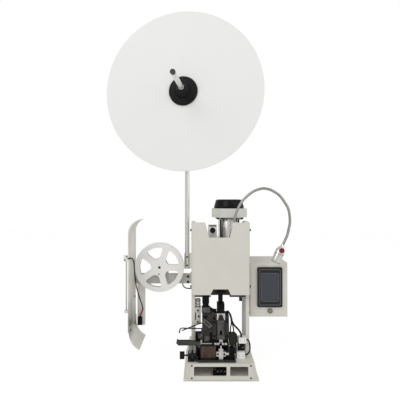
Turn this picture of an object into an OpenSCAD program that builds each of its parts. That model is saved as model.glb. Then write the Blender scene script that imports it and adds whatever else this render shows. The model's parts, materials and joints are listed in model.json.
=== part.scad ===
// Terminal crimping machine, in millimetres.
// The origin is on the floor, on the middle line of the base and under the side plates.
// X runs to the right, Y away from the viewer and Z up.

/* [Base] */
// Width of the base at the floor
base_w = 242; // [232:1:280]
// Width of the base at its top
base_top_w = 214; // [204:1:228]
// Depth of the base
base_d = 230; // [215:1:260]
// Height of the base
base_h = 58; // [50:1:70]
// Wall of the base casting
base_wall = 12; // [8:1:15]
// Thickness of the base floor
base_floor = 10; // [6:1:12]
// Thickness of the plate that closes the base at the front
front_plate_t = 4; // [3:0.5:6]

/* [Frame] */
// Clear width between the two side plates
frame_inner_w = 169; // [164:1:174]
// Thickness of a side plate
plate_t = 12; // [9:0.5:14]
// Depth of a side plate
plate_d = 110; // [100:1:125]
// Distance from the front of the base to the side plates
plate_setback = 50; // [48:1:58]
// Clear height from the base to the underside of the head
throat_h = 202; // [196:1:208]
// Height of the head block
head_h = 180; // [174:1:190]
// Height of the side plates above the base
plate_h = 448; // [436:1:470]
// Thickness of the sheet of the front cover
cover_t = 3; // [2:0.5:4]
// Depth of the front cover, front to back
cover_d = 20; // [19:1:26]

/* [Press drive] */
// Stroke of the press ram
stroke = 30; // [26:1:32]
// Height of the ram above its lowest point, as it stands
ram_lift = 9.5; // [6:0.5:12]
// Diameter of the crankshaft
crank_shaft_dia = 34; // [28:1:38]
// Diameter of the crank pin
crank_pin_dia = 16; // [13:1:18]
// Width of the press ram slide
slide_w = 60; // [54:1:64]
// Thickness of the press ram slide
slide_t = 18; // [15:1:20]
// Height of the press ram slide
slide_h = 153; // [145:1:160]
// Width of a bronze guide
gib_w = 24; // [20:1:26]
// Width of the adapter that holds the applicator ram
adapter_w = 24; // [20:1:28]
// Diameter of the motor body
motor_dia = 77; // [70:1:84]
// Width of the square motor end bell
bell_w = 124; // [116:1:136]
// Height of the motor end bell
bell_h = 32; // [26:1:38]
// Diameter of the fan cover at its foot
fan_dia = 109; // [100:1:114]
// Height of the fan cover
fan_h = 32; // [26:1:38]

/* [Applicator] */
// Thickness of the bolster plate
bolster_t = 8; // [6:0.5:10]
// Height from the bolster plate to the adapter with the ram down
shut_h = 135.8; // [132:0.1:140]
// Distance from the front of the base to the crimping plane
crimp_inset = 20; // [18:1:22]
// Width of the applicator ram
app_ram_w = 19; // [16:1:21]
// Depth of the applicator ram
app_ram_d = 20; // [17:1:22]
// Outer width of the applicator frame
app_frame_w = 54; // [48:1:58]
// Height of the anvil above the bolster plate
anvil_h = 41; // [38:1:43]
// Width of the blade of the anvil
anvil_blade_w = 4.4; // [3:0.1:5]
// Gap between crimper and anvil, as the machine stands
crimp_gap = 6.5; // [5:0.5:8]
// Radius of the crimp height dial
dial_r = 7.6; // [6:0.1:8]

/* [Reel stand] */
// Diameter of the mast
mast_dia = 16; // [12:1:18]
// Height of the reel axle above the floor
reel_z = 947; // [900:1:1000]
// Diameter of the reel axle
axle_dia = 16; // [12:1:18]
// Length of the reel axle from the mast
axle_len = 262; // [230:1:290]
// Diameter of the white reel disc
reel_dia = 540; // [460:1:560]
// Thickness of the reel disc
reel_t = 4; // [3:0.5:6]
// Diameter of the reel hub
hub_dia = 98; // [84:1:110]
// Turn of the axle about the mast, in degrees
axle_yaw = 7.2; // [0:0.1:12]

/* [Take-up and chute] */
// Diameter of the take-up reel
takeup_dia = 172; // [156:1:176]
// Width of the take-up reel
takeup_w = 16; // [12:1:20]
// Height of the take-up reel axis
takeup_z = 344; // [338:1:350]
// Distance of the take-up reel axis from the side plate
takeup_reach = 113.5; // [112:0.5:116]
// Distance of the chute from the side plate
chute_reach = 204; // [202:1:210]
// Width of the chute sheet, front to back
chute_w = 128; // [110:1:132]
// Thickness of the chute sheet
chute_t = 2.5; // [2:0.5:4]
// Height of the straight run of the chute
chute_run = 320; // [300:1:340]
// Radius of the curl at the top of the chute
chute_top_r = 48; // [40:1:56]
// Radius of the bend at the foot of the chute
chute_foot_r = 60; // [50:1:70]
// Length of the hanging sensor lever
lever_len = 172; // [150:1:190]

/* [Lamp and control box] */
// Diameter of the gooseneck
neck_dia = 9; // [7:0.5:10]
// Diameter of the lamp head
lamp_dia = 31; // [26:1:34]
// Length of the lamp head
lamp_len = 64; // [58:1:70]
// Width of the control box
box_w = 130; // [122:1:150]
// Height of the control box
box_h = 185; // [176:1:188]
// Depth of the control box
box_d = 148; // [130:1:160]
// Wall of the control box
box_t = 2; // [1.5:0.5:3]
// Width of the display bezel
hmi_w = 86; // [80:1:90]
// Height of the display bezel
hmi_h = 137; // [130:1:138]
// Diameter of the push button
button_dia = 18; // [14:1:19]

/* [Hidden] */
$fn = 48;
// Overrun of a cut past the face that it opens
over = 1;
// Running fit of a shaft in its bore, on the radius
run_fit = 0.05;
// Gap between sliding flat faces
slide_gap = 0.3;
// Gap between parts that move past each other
free_gap = 0.4;
// Gap between a still part and a curved face next to it
seat_gap = 0.3;

// Places that the main sizes give
front_reach = 150;
front_y = -front_reach;
back_y = front_y + base_d;
base_top_half = base_top_w / 2;
plate_in = frame_inner_w / 2;
plate_out = plate_in + plate_t;
plate_y0 = front_y + plate_setback;
plate_y1 = plate_y0 + plate_d;
head_z0 = base_h + throat_h;
head_z1 = head_z0 + head_h;
plate_z1 = base_h + plate_h;
cover_y1 = plate_y0;
cover_y0 = cover_y1 - cover_d;
crimp_y = front_y + crimp_inset;
bolster_z = base_h + bolster_t;
ram_rise = stroke - ram_lift;

module block(x0, x1, y0, y1, z0, z1) {
    translate([x0, y0, z0]) cube([x1 - x0, y1 - y0, z1 - z0]);
}
module rod_x(r, x0, x1, y, z) {
    translate([x0, y, z]) rotate([0, 90, 0]) cylinder(r = r, h = x1 - x0);
}
module rod_y(r, x, y0, y1, z) {
    translate([x, y1, z]) rotate([90, 0, 0]) cylinder(r = r, h = y1 - y0);
}
module rod_z(r, x, y, z0, z1) {
    translate([x, y, z0]) cylinder(r = r, h = z1 - z0);
}
module along_y(y0, y1) {
    translate([0, y1, 0]) rotate([90, 0, 0]) linear_extrude(y1 - y0) children();
}
module along_x(x0, x1) {
    translate([x0, 0, 0]) rotate([90, 0, 90]) linear_extrude(x1 - x0) children();
}
// An upright box with round corners along Z
module round_block(x0, x1, y0, y1, z0, z1, r) {
    translate([0, 0, z0]) linear_extrude(z1 - z0) round_outline(x0, x1, y0, y1, r);
}
module round_outline(x0, x1, y0, y1, r) {
    union() {
        translate([x0 + r, y0]) square([x1 - x0 - 2 * r, y1 - y0]);
        translate([x0, y0 + r]) square([x1 - x0, y1 - y0 - 2 * r]);
        for (x = [x0 + r, x1 - r], y = [y0 + r, y1 - r]) translate([x, y]) circle(r = r);
    }
}
// A socket-head screw whose head stands on a face at the origin and points along +Z
screw_r = 4;
screw_head = 4;
screw_socket_share = 0.5;
side_turn = 90;
module screw(r, h) {
    difference() {
        cylinder(r = r, h = h);
        translate([0, 0, h / 2]) cylinder(r = r * screw_socket_share, h = h, $fn = 6);
    }
}
module screw_front(x, y, z, r, h) {
    translate([x, y, z]) rotate([90, 0, 0]) screw(r, h);
}
module screw_side(x, y, z, turn, r, h) {
    translate([x, y, z]) rotate([0, turn, 0]) screw(r, h);
}

// A tube swept along points that lie near one upright plane
across = [0, 1, 0];
function unit(v) = v / norm(v);
function run(p, i) = unit(p[min(i + 1, len(p) - 1)] - p[max(i - 1, 0)]);
function side_of(t) = unit(cross(across, t));
function blend_at(a, b, c, d, t) =
    (2 * b + (c - a) * t + (2 * a - 5 * b + 4 * c - d) * t * t + (3 * b - a - 3 * c + d) * t * t * t) / 2;
function smooth_run(p, n) = [
    for (i = [0 : len(p) - 2], k = [0 : n - 1])
        blend_at(p[max(i - 1, 0)], p[i], p[i + 1], p[min(i + 2, len(p) - 1)], k / n),
    p[len(p) - 1]
];
function tube_ring(p, i, r, sides) = [
    for (k = [0 : sides - 1])
        let (t = run(p, i), u = side_of(t), v = cross(t, u), a = 360 * k / sides)
            p[i] + r * (cos(a) * u + sin(a) * v)
];
// Corners of an outline, each rounded over a share of its sides
function soften(p, share) = [
    for (i = [0 : len(p) - 1])
        let (a = p[(i + len(p) - 1) % len(p)], b = p[i], c = p[(i + 1) % len(p)],
            u = b + (a - b) * share, v = b + (c - b) * share)
            for (t = [0 : 1 / 3 : 1]) u * (1 - t) * (1 - t) + b * 2 * t * (1 - t) + v * t * t
];
module tube(p, radii, sides) {
    rings = len(p);
    last = (rings - 1) * sides;
    polyhedron(
        points = [for (i = [0 : rings - 1]) each tube_ring(p, i, radii[i % len(radii)], sides)],
        faces = [
            for (i = [0 : rings - 2], k = [0 : sides - 1]) each [
                [i * sides + k, (i + 1) * sides + (k + 1) % sides, i * sides + (k + 1) % sides],
                [i * sides + k, (i + 1) * sides + k, (i + 1) * sides + (k + 1) % sides]
            ],
            for (k = [1 : sides - 2]) [0, k, k + 1],
            for (k = [1 : sides - 2]) [last, last + k + 1, last + k]
        ]
    );
}

// Base
flange_h = 7;
flange_out = 2;
deck_t = 8;
window_sill = 9;
window_head = 1;
cavity_side = 18;
cavity_half = base_top_half - cavity_side;
window_z0 = base_floor + window_sill;
window_z1 = base_h - deck_t - window_head;
front_plate_inset = 7;
front_plate_half = base_top_half - front_plate_inset;
window_left_shares = [-0.87, 0.17];
window_right_shares = [0.28, 0.86];
window_r = 3;
corner_gap = 2;
corner_d = 22;
module base_casting() {
    half = base_w / 2;
    color([0.80, 0.80, 0.73]) difference() {
        union() {
            block(-half, half, front_y, back_y, 0, flange_h);
            along_y(front_y, back_y) polygon([
                [-half + flange_out, flange_h], [half - flange_out, flange_h],
                [base_top_half, base_h], [-base_top_half, base_h]
            ]);
        }
        block(-cavity_half, cavity_half, front_y - over, back_y - base_wall, base_floor, base_h - deck_t);
        for (s = [-1, 1]) translate([0, 0, flange_h]) linear_extrude(base_h) polygon([
            [s * (front_plate_half + corner_gap), front_y - over], [s * (half + over), front_y - over],
            [s * (half + over), front_y + corner_d]
        ]);
    }
}
module base_front_plate() {
    color([0.82, 0.82, 0.75]) difference() {
        along_y(front_y - front_plate_t, front_y)
            round_outline(-front_plate_half, front_plate_half, flange_h, base_h, window_r);
        for (s = [window_left_shares, window_right_shares])
            along_y(front_y - front_plate_t - over, front_y + over)
                round_outline(s[0] * front_plate_half, s[1] * front_plate_half, window_z0, window_z1, window_r);
    }
}
terminal_w = 34;
terminal_d = 30;
terminal_h = 23;
terminal_foot_w = 10;
terminal_foot_h = 11;
terminal_inset = 14;
base_lead_r = 2;
module base_terminal_block() {
    y0 = front_y + terminal_inset;
    x0 = -terminal_w / 2;
    lead_top = base_h - deck_t;
    color([0.12, 0.12, 0.13]) {
        block(x0, -x0, y0, y0 + terminal_d, base_floor, base_floor + terminal_h);
        block(x0 - terminal_foot_w, x0, y0, y0 + terminal_d / 2, base_floor, base_floor + terminal_foot_h);
        rod_z(base_lead_r, x0 - terminal_foot_w / 2, y0 + terminal_d / 4, base_floor + terminal_foot_h, lead_top);
    }
}

// Side plates, with a large round at the upper rear corner
plate_round = 30;
module side_plate(x0) {
    color([0.82, 0.82, 0.75]) along_x(x0, x0 + plate_t) difference() {
        translate([plate_y0, base_h]) square([plate_d, plate_h]);
        translate([plate_y1 - plate_round, plate_z1 - plate_round]) difference() {
            square(plate_round + over);
            circle(r = plate_round);
        }
    }
}
module side_plate_left() {
    side_plate(-plate_out);
}
module side_plate_right() {
    side_plate(plate_in);
}

// Head block with the crankshaft bore, and the recess for the crank disc
slide_set = 9;
head_y0 = plate_y0 + slide_set;
crank_r = stroke / 2;
lift_turn = 180 * ram_rise / stroke;
disc_rim = 3;
disc_r = crank_r + crank_pin_dia / 2 + disc_rim;
disc_t = 13;
bush_wall = 5;
bush_len = 30;
slide_z0_drop = 12;
slide_z0 = head_z0 + slide_z0_drop;
slot_share = 0.6;
slot_z = slide_z0 + slot_share * slide_h;
crank_z = slot_z - crank_r * (1 - 2 * ram_rise / stroke);
shaft_r = crank_shaft_dia / 2;
bush_r = shaft_r + bush_wall;
module head_block() {
    color([0.74, 0.75, 0.72]) difference() {
        block(-plate_in, plate_in, head_y0, plate_y1, head_z0, head_z1);
        rod_y(bush_r, 0, head_y0 - over, plate_y1 + over, crank_z);
        rod_y(disc_r + free_gap, 0, head_y0 - over, head_y0 + disc_t + free_gap, crank_z);
    }
}
module crank_bushes() {
    color([0.66, 0.50, 0.28]) for (y0 = [head_y0 + disc_t + free_gap, plate_y1 - bush_len]) difference() {
        rod_y(bush_r, 0, y0, y0 + bush_len, crank_z);
        rod_y(shaft_r + run_fit, 0, y0 - over, y0 + bush_len + over, crank_z);
    }
}

// Right-angle gearbox behind the head, under the motor
gear_w = 130;
gear_d = 75;
gear_h = 110;
gear_r = 14;
gear_cap_r = 34;
gear_cap_t = 6;
shaft_tail = 28;
motor_x_share = 0.45;
motor_x = motor_x_share * plate_in;
motor_setback = 5;
motor_y = plate_y1 + motor_setback;
gear_x1 = motor_x + motor_dia / 2 + plate_t / 2;
module gearbox_housing() {
    z0 = head_z1 - gear_h;
    color([0.62, 0.63, 0.63]) difference() {
        union() {
            round_block(gear_x1 - gear_w, gear_x1, plate_y1, plate_y1 + gear_d, z0, head_z1, gear_r);
            block(gear_x1 - gear_w, gear_x1, plate_y1, plate_y1 + gear_r, z0, head_z1);
            rod_y(gear_cap_r, 0, plate_y1 + gear_d / 2, plate_y1 + gear_d + gear_cap_t, crank_z);
        }
        rod_y(shaft_r + seat_gap, 0, plate_y1 - over, plate_y1 + shaft_tail + free_gap, crank_z);
    }
}

// Front cover: one sheet with round edges, folded back to the side plates
cover_drop = 7;
cover_r = 9;
cover_z0 = head_z0 + cover_drop;
cover_half = plate_out;
notch_top_half = 47;
notch_foot_half = 34;
notch_h = 50;
notch_x = -4;
mouth_foot_half = 34;
mouth_top_half = 25;
mouth_h = 19;
module cover_notches() {
    along_y(cover_y0 - over, cover_y0 + cover_r) {
        polygon([
            [notch_x - notch_foot_half, plate_z1 - notch_h], [notch_x + notch_foot_half, plate_z1 - notch_h],
            [notch_x + notch_top_half, plate_z1 + over], [notch_x - notch_top_half, plate_z1 + over]
        ]);
        polygon([
            [-mouth_foot_half, cover_z0 - over], [mouth_foot_half, cover_z0 - over],
            [mouth_top_half, cover_z0 + mouth_h], [-mouth_top_half, cover_z0 + mouth_h]
        ]);
    }
}
module front_cover() {
    inner = cover_half - cover_t;
    color([0.82, 0.82, 0.75]) difference() {
        round_block(-cover_half, cover_half, cover_y0, cover_y1 + cover_r, cover_z0, plate_z1, cover_r);
        round_block(-inner, inner, cover_y0 + cover_t, cover_y1 + 2 * cover_r, cover_z0 - over, plate_z1 + over,
            cover_r - cover_t);
        block(-cover_half - over, cover_half + over, cover_y1, cover_y1 + cover_r + over,
            cover_z0 - over, plate_z1 + over);
        cover_notches();
    }
}

// Motor
bell_gap = 12;
bell_chamfer_share = 0.25;
fan_top_share = 0.9;
fan_round = 6;
flange_t = 6;
flange_w = motor_dia + plate_t;
bell_z0 = plate_z1 + bell_gap;
lug_r = 5;
lug_h = 8;
module motor_body() {
    color([0.80, 0.81, 0.82]) {
        block(motor_x - flange_w / 2, motor_x + flange_w / 2, motor_y - flange_w / 2, motor_y + flange_w / 2,
            head_z1, head_z1 + flange_t);
        rod_z(motor_dia / 2, motor_x, motor_y, head_z1 + flange_t, bell_z0);
    }
}
module motor_end_bell() {
    h = bell_w / 2;
    c = bell_w * bell_chamfer_share;
    corners = [[h, h - c], [h - c, h], [c - h, h], [-h, h - c], [-h, c - h], [c - h, -h], [h - c, -h], [h, c - h]];
    lug = h - c / 2 - 2 * lug_r;
    color([0.83, 0.84, 0.84]) {
        translate([motor_x, motor_y, bell_z0]) linear_extrude(bell_h) polygon(corners);
        for (x = [-lug, lug], y = [-lug, lug])
            translate([motor_x + x, motor_y + y, bell_z0 - lug_h]) cylinder(r = lug_r, h = lug_h);
    }
}
module motor_fan_cover() {
    r0 = fan_dia / 2;
    r1 = r0 * fan_top_share;
    color([0.07, 0.07, 0.08]) translate([motor_x, motor_y, bell_z0 + bell_h]) rotate_extrude($fn = 64) polygon(concat(
        [[0, 0], [r0, 0], [r0, fan_round], [r1, fan_h - fan_round]],
        [for (a = [15 : 15 : 90]) [r1 - fan_round + fan_round * cos(a), fan_h - fan_round + fan_round * sin(a)]],
        [[0, fan_h]]
    ));
}

// Small box with a round plug, beside the motor
junction_w = 30;
junction_d = 30;
junction_h = 48;
junction_lid = 6;
lid_inset = 1;
junction_gap = 9;
plug_r = 9.5;
plug_t = 5;
plug_share = 0.7;
junction_x1 = motor_x - motor_dia / 2 - junction_gap;
junction_y0 = head_y0 + junction_d;
module junction_box() {
    x0 = junction_x1 - junction_w;
    z1 = head_z1 + junction_h;
    color([0.90, 0.90, 0.88]) union() {
        block(x0, junction_x1, junction_y0, junction_y0 + junction_d, head_z1, z1);
        block(x0 + lid_inset, junction_x1 - lid_inset, junction_y0 + lid_inset, junction_y0 + junction_d - lid_inset,
            z1, z1 + junction_lid);
    }
    color([0.05, 0.05, 0.05])
        rod_y(plug_r, x0 + junction_w / 2, junction_y0 - plug_t, junction_y0, head_z1 + plug_share * junction_h);
}

// Press ram: a slide with a cross slot for the crank pin, a neck and an adapter
slide_y1 = head_y0 - slide_gap;
slide_y0 = slide_y1 - slide_t;
web_t = 6;
slot_play_share = 0.2106;
slot_h = crank_pin_dia + 2 * slot_play_share * crank_r + 2 * free_gap;
slot_w = stroke + crank_pin_dia + 2 * free_gap;
neck_w = 14.6;
adapter_h = 29;
adapter_d = 34;
adapter_z0 = bolster_z + shut_h + ram_lift;
ram_setback = 2;
app_ram_y0 = crimp_y + ram_setback;
app_ram_y1 = app_ram_y0 + app_ram_d;
module press_ram() {
    half = slide_w / 2;
    color([0.13, 0.13, 0.14]) difference() {
        union() {
            block(-half, half, slide_y0, slide_y1, slide_z0, slide_z0 + slide_h);
            block(-neck_w / 2, neck_w / 2, slide_y0, slide_y1, adapter_z0, slide_z0);
            block(-adapter_w / 2, adapter_w / 2, app_ram_y0, app_ram_y0 + adapter_d, adapter_z0,
                adapter_z0 + adapter_h);
        }
        block(-slot_w / 2, slot_w / 2, slide_y0 + web_t, slide_y1 + over, slot_z - slot_h / 2, slot_z + slot_h / 2);
    }
}
pin_y0 = slide_y0 + web_t + free_gap;
module crankshaft() {
    pin_x = crank_r * sin(lift_turn);
    pin_z = crank_z + crank_r * cos(lift_turn);
    color([0.55, 0.56, 0.58]) {
        rod_y(shaft_r, 0, head_y0 + disc_t, plate_y1 + shaft_tail, crank_z);
        rod_y(disc_r, 0, head_y0 + free_gap / 2, head_y0 + disc_t, crank_z);
        rod_y(crank_pin_dia / 2, pin_x, pin_y0, head_y0 + disc_t / 2, pin_z);
    }
}
// Bronze guides: an L bar on each side, whose lip holds the slide at the front
lip_t = 4.5;
lip_half = 12.5;
guide_lift = 6;
guide_z0 = head_z0 + guide_lift;
guide_h = head_h - plate_t;
module slide_guides() {
    edge = slide_w / 2 + slide_gap;
    lip_y = slide_y0 - slide_gap;
    color([0.48, 0.33, 0.22]) for (s = [-1, 1]) translate([0, 0, guide_z0]) linear_extrude(guide_h) polygon([
        [s * edge, head_y0], [s * (edge + gib_w), head_y0], [s * (edge + gib_w), lip_y - lip_t],
        [s * lip_half, lip_y - lip_t], [s * lip_half, lip_y], [s * edge, lip_y]
    ]);
}

// Applicator
bolster_left_gap = 8.5;
bolster_right_gap = 38;
bolster_x0 = bolster_left_gap - plate_in;
bolster_x1 = plate_in - bolster_right_gap;
bolster_inset = 4;
bolster_d = 112;
app_base_t = 8;
app_base_z = bolster_z + app_base_t;
app_half = app_frame_w / 2;
app_base_setback = 4;
base_front_y = crimp_y + app_base_setback;
app_base_d = 68;
app_base_left_inset = 4;
app_base_right_inset = 2;
module bolster_plate() {
    color([0.45, 0.47, 0.50])
        block(bolster_x0, bolster_x1, front_y + bolster_inset, front_y + bolster_inset + bolster_d, base_h, bolster_z);
}
// Base plate, with a stepped tower at the right that the leads run to
tower_gap = 2;
tower_w = 27;
tower_d = 24;
tower_h = 64;
tower_setback = 10;
tower_foot_x = 4;
tower_foot_w = 11;
tower_arm_h = 34;
tower_bevel = 8;
module tower_outline() {
    x0 = app_half + tower_gap;
    x1 = x0 + tower_w;
    z1 = app_base_z + tower_h;
    arm_z = z1 - tower_arm_h;
    polygon([
        [x0 + tower_foot_x, app_base_z], [x0 + tower_foot_x + tower_foot_w, app_base_z],
        [x0 + tower_foot_x + tower_foot_w, arm_z], [x1, arm_z + tower_bevel], [x1, z1 - tower_bevel],
        [x1 - tower_bevel, z1], [x0, z1], [x0, arm_z], [x0 + tower_foot_x, arm_z - tower_foot_x]
    ]);
}
module applicator_base() {
    y0 = base_front_y + tower_setback;
    color([0.30, 0.34, 0.40]) union() {
        block(bolster_x0 + app_base_left_inset, bolster_x1 - app_base_right_inset, base_front_y,
            base_front_y + app_base_d, bolster_z, app_base_z);
        along_y(y0, y0 + tower_d) tower_outline();
    }
}
// Frame: a throat for the strip, a slot for the ram, and a plate on each side of the slot
frame_foot_h = 12;
frame_head_h = 75;
frame_back_t = 30;
frame_lip = 4;
frame_top_gap = 1.8;
cheek_setback = 6;
gib_t = 4;
gib_drop = 12;
gib_h = 62;
gib_in = 14;
ram_back_y = app_ram_y1 + slide_gap;
frame_top_z = adapter_z0 - ram_lift - frame_top_gap;
frame_head_z = frame_top_z - frame_head_h;
frame_y0 = base_front_y + frame_lip;
frame_y1 = base_front_y + app_base_d - frame_lip;
throat_y = frame_y1 - frame_back_t;
cheek_y0 = app_ram_y0 + cheek_setback;
gib_z0 = frame_top_z - gib_drop - gib_h;
module applicator_frame() {
    slot = app_ram_w / 2 + slide_gap;
    color([0.36, 0.36, 0.38]) union() {
        difference() {
            along_x(-app_half, app_half) polygon([
                [frame_y0, app_base_z], [frame_y1, app_base_z], [frame_y1, frame_top_z - cheek_setback],
                [frame_y1 - cheek_setback, frame_top_z], [cheek_y0, frame_top_z], [cheek_y0, frame_head_z],
                [throat_y, frame_head_z], [throat_y, app_base_z + frame_foot_h], [frame_y0, app_base_z + frame_foot_h]
            ]);
            block(-slot, slot, cheek_y0 - over, ram_back_y, frame_head_z - over, frame_top_z + over);
        }
        for (x = [-app_half, gib_in]) block(x, x + app_half - gib_in, cheek_y0 - gib_t, cheek_y0, gib_z0, gib_z0 + gib_h);
    }
}
// Crimpers, and the applicator ram with its front plate and clamp bar
crimper_t = 2.4;
crimper_tip_z = bolster_z + anvil_h + crimp_gap;
crimper_h = 25;
crimper_half = 5.2;
crimper_head_half = 8;
crimper_head_h = 11;
crimper_step = 3;
fork_play = 0.4;
fork_depth = 7;
front_plate_y0 = app_ram_y0 - 2 * crimper_t;
front_plate_w = 23;
front_plate_top_gap = 1.3;
clamp_bar_t = 3.5;
clamp_bar_h = 14;
clamp_bar_lap = 3.5;
app_ram_lap = 14;
oval_w = 8.8;
oval_h = 14;
oval_lift = 10.6;
pin_hole_r = 1.8;
pin_hole_x = 4.7;
pin_hole_drop = 9.5;
key_hole_drop = 17.5;
bracket_h = 21;
app_ram_z0 = crimper_tip_z + crimper_h - app_ram_lap;
plate_foot_z = crimper_tip_z + crimper_h;
plate_head_z = adapter_z0 - bracket_h - front_plate_top_gap;
module ram_plate_outline() {
    oval_z = plate_foot_z + oval_lift;
    oval_run = (oval_h - oval_w) / 2;
    difference() {
        translate([-front_plate_w / 2, plate_foot_z]) square([front_plate_w, plate_head_z - plate_foot_z]);
        translate([-oval_w / 2, oval_z - oval_run]) square([oval_w, 2 * oval_run]);
        for (z = [oval_z - oval_run, oval_z + oval_run]) translate([0, z]) circle(r = oval_w / 2, $fn = 24);
        for (x = [-pin_hole_x, pin_hole_x])
            translate([x, plate_head_z - pin_hole_drop]) circle(r = pin_hole_r, $fn = 16);
        translate([0, plate_head_z - key_hole_drop]) circle(r = pin_hole_r, $fn = 16);
    }
}
module applicator_ram() {
    color([0.40, 0.40, 0.42]) union() {
        block(-app_ram_w / 2, app_ram_w / 2, app_ram_y0, app_ram_y1, app_ram_z0, adapter_z0);
        along_y(front_plate_y0, app_ram_y0) ram_plate_outline();
        block(-front_plate_w / 2, front_plate_w / 2, front_plate_y0 - clamp_bar_t, front_plate_y0,
            plate_foot_z + clamp_bar_lap - clamp_bar_h, plate_foot_z + clamp_bar_lap);
    }
}
module crimper_outline() {
    z1 = crimper_tip_z + crimper_h;
    neck = z1 - crimper_head_h;
    fork = anvil_blade_w / 2 + fork_play;
    difference() {
        polygon([
            [-crimper_half, crimper_tip_z], [crimper_half, crimper_tip_z], [crimper_half, neck],
            [crimper_head_half, neck + crimper_step], [crimper_head_half, z1], [-crimper_head_half, z1],
            [-crimper_head_half, neck + crimper_step], [-crimper_half, neck]
        ]);
        translate([-fork, crimper_tip_z - over]) square([2 * fork, fork_depth + over]);
    }
}
module crimpers() {
    color([0.78, 0.79, 0.80]) for (k = [0, 1])
        along_y(app_ram_y0 - (k + 1) * crimper_t, app_ram_y0 - k * crimper_t) crimper_outline();
}
// Anvil and its cross-shaped holder
holder_t = 7;
arm_half = 15;
stem_half = 6;
arm_z0 = 10;
arm_z1 = 24;
holder_h = 26;
anvil_half = 7.5;
anvil_blade_h = 9;
anvil_step = 2;
anvil_back_gap = 1;
anvil_y0 = front_plate_y0 - anvil_back_gap;
side_knob_r = 4;
side_knob_len = 9.8;
side_knob_root = 1;
module anvil() {
    z1 = bolster_z + anvil_h;
    shoulder = z1 - anvil_blade_h;
    blade = anvil_blade_w / 2;
    color([0.72, 0.73, 0.74]) along_y(anvil_y0, app_ram_y0) polygon([
        [-anvil_half, bolster_z], [anvil_half, bolster_z], [anvil_half, shoulder - anvil_step],
        [blade, shoulder], [blade, z1], [-blade, z1], [-blade, shoulder], [-anvil_half, shoulder - anvil_step]
    ]);
}
module anvil_holder() {
    z = bolster_z;
    y0 = anvil_y0 - holder_t;
    color([0.82, 0.82, 0.78]) union() {
        along_y(y0, anvil_y0) union() {
            translate([-stem_half, z]) square([2 * stem_half, holder_h]);
            translate([-arm_half, z + arm_z0]) square([2 * arm_half, arm_z1 - arm_z0]);
        }
        rod_x(side_knob_r, arm_half - side_knob_root, arm_half + side_knob_len, y0 + holder_t / 2,
            z + (arm_z0 + arm_z1) / 2);
    }
}
// Strip guide at the left of the anvil, and the rail with its four stops
strip_guide_w = 48;
strip_guide_t = 14;
strip_guide_z0 = 12;
strip_guide_h = 26;
strip_gap = 9.5;
strip_front = 4;
strip_foot_inset = 2;
strip_x1 = -anvil_half - strip_gap;
strip_x0 = strip_x1 - strip_guide_w;
strip_y0 = crimp_y - strip_front;
rail_z = bolster_z + strip_guide_z0 + strip_guide_h;
module strip_guide() {
    z0 = bolster_z + strip_guide_z0;
    color([0.42, 0.27, 0.20]) union() {
        block(strip_x0, strip_x1, strip_y0, base_front_y, z0, rail_z);
        block(strip_x0, strip_x1 - strip_guide_w / 4, base_front_y, base_front_y + strip_guide_t, app_base_z, rail_z);
        block(strip_x0, strip_x1, strip_y0 + strip_foot_inset, base_front_y, bolster_z, z0);
    }
}
rail_h = 3;
rail_lap = 1;
rail_bar_d = 6;
rail_end = 2;
stop_w = 7;
stop_d = 5;
stop_h = 6;
stop_shares = [-0.67, -0.35, 0.27, 0.61];
module strip_rail() {
    y1 = cheek_y0 + rail_end;
    z1 = rail_z + rail_h;
    color([0.85, 0.86, 0.86]) union() {
        block(strip_x0 - rail_end, strip_x1, strip_y0 + strip_foot_inset, y1, rail_z, z1);
        block(strip_x1 - rail_lap, app_half, y1 - rail_bar_d, y1, rail_z, z1);
        for (s = stop_shares)
            block(s * app_half - stop_w / 2, s * app_half + stop_w / 2, y1 - rail_bar_d, y1 - rail_bar_d + stop_d,
                z1 - rail_lap, z1 + stop_h);
        block(app_half - stop_w, app_half, y1 - rail_lap, throat_y, rail_z, z1);
    }
}

// Feed unit at the left of the applicator frame
feed_w = 34;
feed_y0 = cheek_y0;
feed_d = 32;
feed_drop = 3;
feed_z1 = adapter_z0 - feed_drop;
feed_h = 59;
finger_w = 19;
finger_h = 36;
finger_x = 6;
shoe_w = 17;
shoe_h = 18;
shoe_rise = 12;
shoe_lap = 3;
feed_x1 = -app_half;
feed_x0 = feed_x1 - feed_w;
feed_z0 = feed_z1 - feed_h;
recess_r = 6.5;
recess_d = 5;
pivot_r = 3;
pivot_depth = 12;
pivot_share = 0.38;
pivot_x = feed_x0 + feed_w / 5;
pivot_z = feed_z1 - pivot_share * feed_h;
module feed_bracket() {
    y0 = feed_y0 + feed_d / 4;
    y1 = feed_y0 + 3 * feed_d / 4;
    shoe_z0 = feed_z0 - shoe_rise - shoe_h + shoe_lap;
    color([0.42, 0.42, 0.44]) difference() {
        union() {
            block(feed_x0, feed_x1, feed_y0, feed_y0 + feed_d, feed_z0, feed_z1);
            block(feed_x0 + finger_x, feed_x0 + finger_x + finger_w, y0, y1, feed_z0 - finger_h, feed_z0);
            block(feed_x0 + shoe_lap - shoe_w, feed_x0 + shoe_lap, y0, y1, shoe_z0, shoe_z0 + shoe_h);
            block(feed_x0 - shoe_lap, feed_x0 + finger_x, y0, y1, shoe_z0 + shoe_h - shoe_lap, feed_z0 + shoe_lap);
        }
        rod_y(pivot_r + run_fit, pivot_x, feed_y0 - over, feed_y0 + pivot_depth, pivot_z);
        rod_y(recess_r, feed_x0 + feed_w / 3, feed_y0 - over, feed_y0 + recess_d, feed_z1 - feed_h / 6);
    }
}
lever_t = 5;
lever_r0 = 6;
lever_r1 = 7.5;
lever_reach_share = 0.52;
lever_drop_share = 0.27;
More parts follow.
